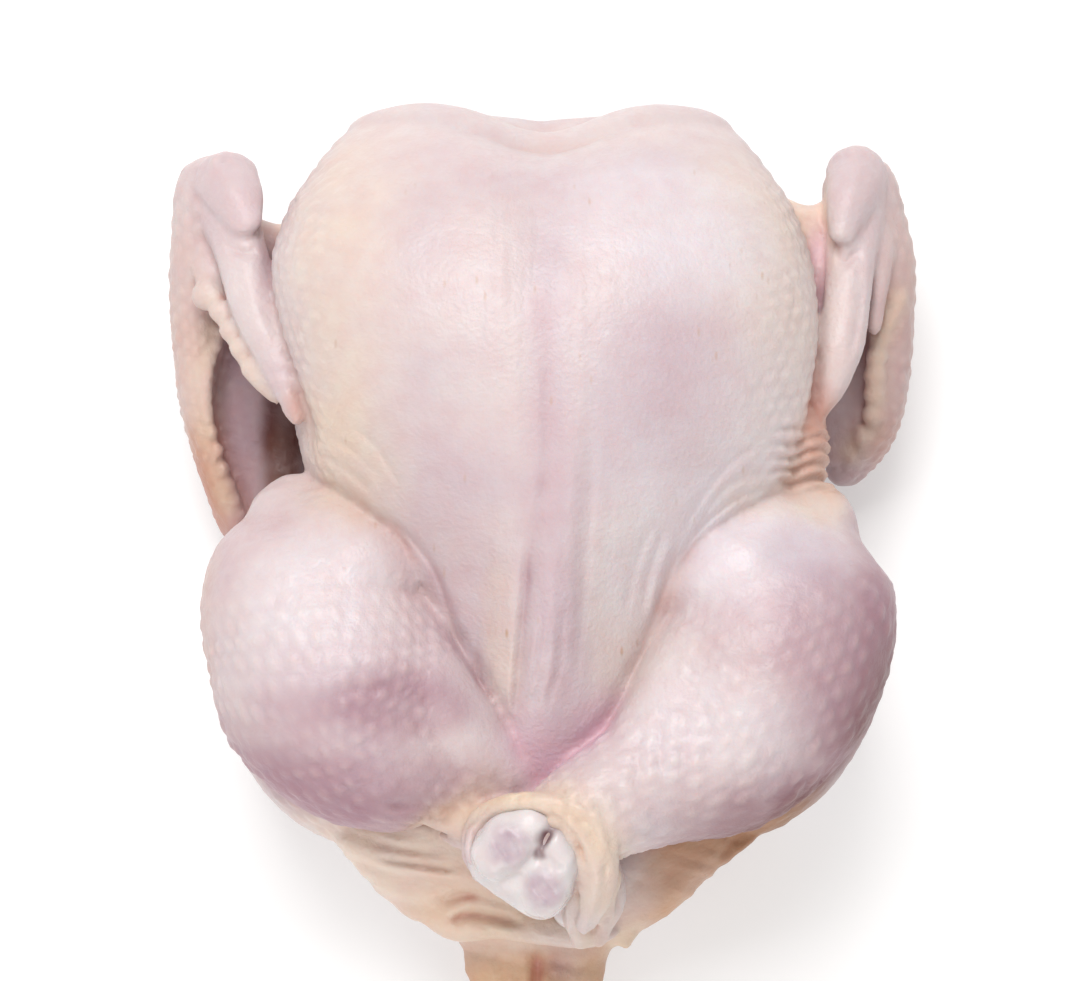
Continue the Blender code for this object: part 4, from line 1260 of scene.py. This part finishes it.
def feather_marks(points):
    """Where feather roots may show on the breast, from 0 to 0.85: scattered by grain, in a chain left of the
    keel, and along the fat right of it."""
    off_trunk = np.abs(points[:, 2] - breast_height(points[:, :2]))
    on_breast = smooth_step((7 - off_trunk) / 3) * smooth_step((points[:, 2] - 66) / 8)
    sparse = smooth_step((grain(points, 9.0, 27.0) - 0.45) / 0.2)
    chain = stroke(points, ((-7.5, -2, 97), (-9.6, -13, 92), (-10.6, -23, 85), (-11.7, -34, 78)), 3.0)
    fat_side = stroke(points, ((14, 0, 96), (18, -16, 84), (22, -28, 76)), 5.0)
    return np.clip(on_breast * (0.45 * sparse + chain + 0.8 * fat_side), 0, 0.85)


store_colour(skin, colour, feather_marks(points))
write_points(skin, home(points))
skin.data.shade_smooth()
print("skin home:", [round(side, 3) for side in np.ptp(home(points), axis=0)], "m")

# %% [markdown]
# ## The skin's material
#
# Raw skin is moist and slightly see-through. Light enters it, scatters a few millimetres and comes out
# redder, which the Principled shader does with its subsurface settings. On top come a soft wet shine that
# varies from spot to spot, and a bump of tiny pits finer than the mesh can hold.

# %% Moist skin
SKIN_SCATTER = 0.3
SKIN_DEPTH = 0.0015
SCATTER_REACH = (1.0, 0.45, 0.3)
MOIST_IOR = 1.4
FLECK_SCALE = 180
FLECK_TINT = (0.95, 0.80, 0.80)
PIT_STRENGTH = 0.52
MARK_SCALE = (260.0, 95.0, 30.0)
MARK_TAN = paint(216, 178, 152)


def set_inputs(node, values):
    """Each value goes into the node's input of that name."""
    for name, value in values.items():
        node.inputs[name].default_value = value


def noise_node(tree, where, scale, detail):
    """Noise over the piece's own coordinates."""
    noise = tree.nodes.new("ShaderNodeTexNoise")
    set_inputs(noise, {"Scale": scale, "Detail": detail})
    tree.links.new(where.outputs["Object"], noise.inputs["Vector"])
    return noise.outputs["Fac"]


def range_node(tree, value, limits):
    """A value carried from one range to another."""
    spread = tree.nodes.new("ShaderNodeMapRange")
    set_inputs(spread, limits)
    tree.links.new(value, spread.inputs["Value"])
    return spread.outputs["Result"]


def mix_node(tree, blend, share, colour, tint):
    """A colour with a tint mixed or multiplied in by a share."""
    mix = tree.nodes.new("ShaderNodeMix")
    mix.data_type = "RGBA"
    mix.blend_type = blend
    mix.inputs["B"].default_value = (*tint, 1.0)
    tree.links.new(share, mix.inputs["Factor"])
    tree.links.new(colour, mix.inputs["A"])
    return mix.outputs["Result"]


def marks_node(tree, where, amount):
    """Small spots round the middles of stretched Voronoi cells, where the amount lets them show."""
    stretch = tree.nodes.new("ShaderNodeMapping")
    set_inputs(stretch, {"Scale": MARK_SCALE})
    tree.links.new(where.outputs["Object"], stretch.inputs["Vector"])
    roots = tree.nodes.new("ShaderNodeTexVoronoi")
    set_inputs(roots, {"Scale": 1.0})
    tree.links.new(stretch.outputs["Vector"], roots.inputs["Vector"])
    showing = tree.nodes.new("ShaderNodeMath")
    showing.operation = "MULTIPLY"
    spot = range_node(tree, roots.outputs["Distance"], {"From Min": 0.15, "From Max": 0.05})
    tree.links.new(spot, showing.inputs[0])
    tree.links.new(amount, showing.inputs[1])
    return showing.outputs["Value"]


def moist_material(name, scatter, depth, roughness, pit_size, pit_depth):
    """A Principled shader coloured by the mesh's paint, with noise in its colour, roughness and bump. The
    paint's alpha says where the tan marks of feather roots show."""
    material = bpy.data.materials.new(name)
    material.use_nodes = True
    tree = material.node_tree
    shader = tree.nodes["Principled BSDF"]
    set_inputs(shader, {"Subsurface Weight": scatter, "Subsurface Radius": SCATTER_REACH})
    set_inputs(shader, {"Subsurface Scale": depth, "IOR": MOIST_IOR})
    where = tree.nodes.new("ShaderNodeTexCoord")
    coat = tree.nodes.new("ShaderNodeAttribute")
    coat.attribute_name = "paint"

    fleck = noise_node(tree, where, FLECK_SCALE, 4)
    tone = range_node(tree, fleck, {"From Min": 0.35, "From Max": 0.75, "To Max": 0.45})
    colour = mix_node(tree, "MULTIPLY", tone, coat.outputs["Color"], FLECK_TINT)
    marks = marks_node(tree, where, coat.outputs["Alpha"])
    colour = mix_node(tree, "MIX", marks, colour, MARK_TAN)
    tree.links.new(colour, shader.inputs["Base Color"])
    shine = range_node(tree, fleck, {"To Min": roughness - 0.1, "To Max": roughness + 0.12})
    tree.links.new(shine, shader.inputs["Roughness"])

    bump = tree.nodes.new("ShaderNodeBump")
    set_inputs(bump, {"Strength": PIT_STRENGTH, "Distance": pit_depth})
    tree.links.new(noise_node(tree, where, 1 / pit_size, 3), bump.inputs["Height"])
    tree.links.new(bump.outputs["Normal"], shader.inputs["Normal"])
    return material


skin_look = moist_material(
    "moist_skin", SKIN_SCATTER, SKIN_DEPTH, roughness=0.4, pit_size=0.0014, pit_depth=0.0005
)
skin.data.materials.clear()
skin.data.materials.append(skin_look)
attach(skin, "root")
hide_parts("chicken")
print("skin finished")

# %% [markdown]
# ## The bare joint
#
# At the hock the skin ends and the joint shows: two rounded heads side by side, like a small pulley, white
# as porcelain with a purple-grey bruise on each. The groove between them once guided the tendon. Short
# limbs, fused finely and eased a little, give the heads, the bridge between them and the start of the bone.

# %% Shape and paint a joint
RIGHT_JOINT = (
    (((-12.5, -79, 84), (-9, -76.2, 84.6), (-3.4, -72.2, 84)), ((7.0, 6.2), (8.4, 6.8), (6.6, 6.4))),
    (((-1.6, -89.2, 82), (0.4, -86.8, 83), (3, -81.6, 83)), ((5.6, 5.6), (6.8, 6.6), (6.2, 6.4))),
    (((-11.5, -78.5, 79), (-0.5, -86.5, 79)), ((9.4, 7.6), (9.0, 7.2))),
    (((-6, -80, 79), (7, -68, 77)), ((9, 8), (6, 6))),
    (((1.6, -75.4, 88), (4.6, -80, 87.4)), ((4.0, 3), (3.6, 3))),
    (((-5.4, -83.2, 86), (-2.6, -82, 86.6), (0.6, -80.6, 86.4)), ((1.2, 1.2), (1.3, 1.3), (1.0, 1.0))),
)
LEFT_JOINT = (
    (((7, -91.6, 50.5), (9, -90.4, 51)), ((5.4, 5.4), (5.2, 5.2))),
    (((13, -89, 50.6), (15, -88, 51)), ((5.0, 5.0), (4.8, 4.8))),
    (((10.5, -88.5, 53), (5, -79, 57)), ((6, 5.5), (4.5, 4.5))),
)
BRUISE = paint(206, 184, 194)
# Painted shade: the deep inside of the hole in the right joint.
HOLE_SHADE = paint(128, 92, 96)
RIGHT_BRUISES_AND_SHADE = (
    ((-9.6, -76.8, 91), 5.2, BRUISE), ((-0.6, -88.0, 89), 5.0, BRUISE),
    # These three spots are painted shade in the joint's hole.
    ((-0.4, -74.6, 88), 2.6, HOLE_SHADE), ((-1.4, -78.4, 88), 1.8, HOLE_SHADE), ((2, -73, 87), 3.0, HOLE_SHADE),
)
LEFT_BRUISES = (((8, -92, 56), 3.0, BRUISE),)
RIGHT_GROOVES = (
    (((2.8, -70.6), (0.4, -74.2), (-1.8, -79), (-5, -82.2), (-9.6, -86.4)), 1.3, -2.8, TOP),
    (((-12, -78.6), (-9.6, -76.8), (-7.4, -75.2)), 3.4, -1.1, TOP),
    (((-2, -89.6), (-0.6, -88), (0.8, -86.4)), 3.4, -1.1, TOP),
    (((0.5, -79.6), (2.6, -82), (5.6, -83)), 1.0, -1.0, TOP),
)
PORCELAIN = paint(244, 236, 235)
JOINT_CUBE = 0.5
ROUNDS_FOR_JOINTS = 12


def joint(name, node, shapes, grooves, bruises_and_shade):
    """Short limbs for the heads, the bridge and the bone, fused, eased, grooved and painted with bruise spots
    and with painted shade in the joint's hole.
    """
    thing = fused(name, [limb(*shape) for shape in shapes], JOINT_CUBE)
    places = relaxed(read_points(thing), neighbours(thing), HALF_WAY, ROUNDS_FOR_JOINTS)
    places = pressed(thing, places, grooves)
    uneven = 1.0 * (grain(places, 7.0, 31.0) - 0.5) + 0.35 * (grain(places, 2.6, 32.0) - 0.5)
    write_points(thing, places)
    places = places + read_normals(thing) * uneven[:, None]
    colour = PORCELAIN * (0.94 + 0.1 * grain(places, 3.0, 33.0))[:, None]
    # Each spot is a purple-grey bruise, or painted shade in the joint's hole.
    for spot, radius, wash in bruises_and_shade:
        broken = 0.6 + 0.6 * grain(places, 1.6, 34.0)
        share = 0.85 * patch(places, spot, (radius,) * 3) * broken
        colour = mixed(colour, wash, np.clip(share, 0, 1)[:, None])
    store_colour(thing, colour, np.zeros(len(colour)))
    write_points(thing, home(places))
    thing.data.shade_smooth()
    thing.data.materials.clear()
    look = moist_material("cartilage_" + name, 0.3, 0.001, roughness=0.27, pit_size=0.002, pit_depth=0.0002)
    thing.data.materials.append(look)
    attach(thing, "root")
    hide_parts(node)
    print(name, len(thing.data.polygons), "faces")


joint("joint_right", "knuckle_right", RIGHT_JOINT, RIGHT_GROOVES, RIGHT_BRUISES_AND_SHADE)
joint("joint_left", "knuckle_left", LEFT_JOINT, (), LEFT_BRUISES)

# %% [markdown]
# ## Floor, light and camera
#
# The bird lies on a plain pale surface under a broad soft light from the neck's side, which leaves the
# tail's side and the right flank in shade. A weaker one from the tail's side and an even, bright room lift
# that shade. The camera looks almost straight down.

# %% The floor
FLOOR_HALF = 3.0
FLOOR_LOOK = {
    "Base Color": (0.68, 0.673, 0.668, 1),
    "Emission Color": (1, 1, 1, 1),
    "Emission Strength": 0.3,
    "Roughness": 0.9,
    "Specular IOR Level": 0.0,
}
floor_mesh = bpy.data.meshes.new("floor")
corners = [(x * FLOOR_HALF, y * FLOOR_HALF, 0) for x, y in ((-1, -1), (1, -1), (1, 1), (-1, 1))]
floor_mesh.from_pydata(corners, [], [(0, 1, 2, 3)])
floor = bpy.data.objects.new("floor", floor_mesh)
bpy.context.scene.collection.objects.link(floor)
floor_look = bpy.data.materials.new("pale_floor")
floor_look.use_nodes = True
set_inputs(floor_look.node_tree.nodes["Principled BSDF"], FLOOR_LOOK)
floor_mesh.materials.append(floor_look)
print("floor", 2 * FLOOR_HALF, "m across")


# %% The light
BIRD_MIDDLE = Vector((0, 0, 0.05))
ROOM_LIGHT = 0.6


def soft_light(name, place, size, power):
    """A square lamp that looks at the bird."""
    lamp = bpy.data.lights.new(name, "AREA")
    lamp.size = size
    lamp.energy = power
    thing = bpy.data.objects.new(name, lamp)
    thing.location = place
    thing.rotation_euler = (BIRD_MIDDLE - Vector(place)).to_track_quat("-Z", "Y").to_euler()
    bpy.context.scene.collection.objects.link(thing)


soft_light("window", place=(-0.17, 0.85, 1.4), size=0.9, power=22)
soft_light("fill", place=(-0.3, -1.45, 0.95), size=1.2, power=12.5)
world = bpy.data.worlds.new("soft_room")
world.use_nodes = True
set_inputs(world.node_tree.nodes["Background"], {"Color": (1, 1, 1, 1), "Strength": ROOM_LIGHT})
bpy.context.scene.world = world
bpy.context.scene.view_settings.view_transform = "Standard"
print("a window, a weaker lamp and a bright room")

# %% The camera
VIEW_HEIGHT_ANGLE = 84.0
VIEW_DISTANCE = 1.3
VIEW_TARGET = Vector((-0.0007, 0.0223, 0.055))
MM_PER_PIXEL = 0.265
PICTURE_WIDTH = 1080
SENSOR_WIDTH = 36
camera = bpy.data.objects.new("camera", bpy.data.cameras.new("camera"))
camera.data.sensor_width = SENSOR_WIDTH
camera.data.lens = SENSOR_WIDTH * VIEW_DISTANCE / (PICTURE_WIDTH * MM_PER_PIXEL * MM)
tilt = math.radians(VIEW_HEIGHT_ANGLE)
back = Vector((0, -math.cos(tilt), math.sin(tilt)))
camera.location = VIEW_TARGET + back * VIEW_DISTANCE
camera.rotation_euler = (-back).to_track_quat("-Z", "Y").to_euler()
bpy.context.scene.collection.objects.link(camera)
bpy.context.scene.camera = camera
print("lens", round(camera.data.lens, 1), "mm")
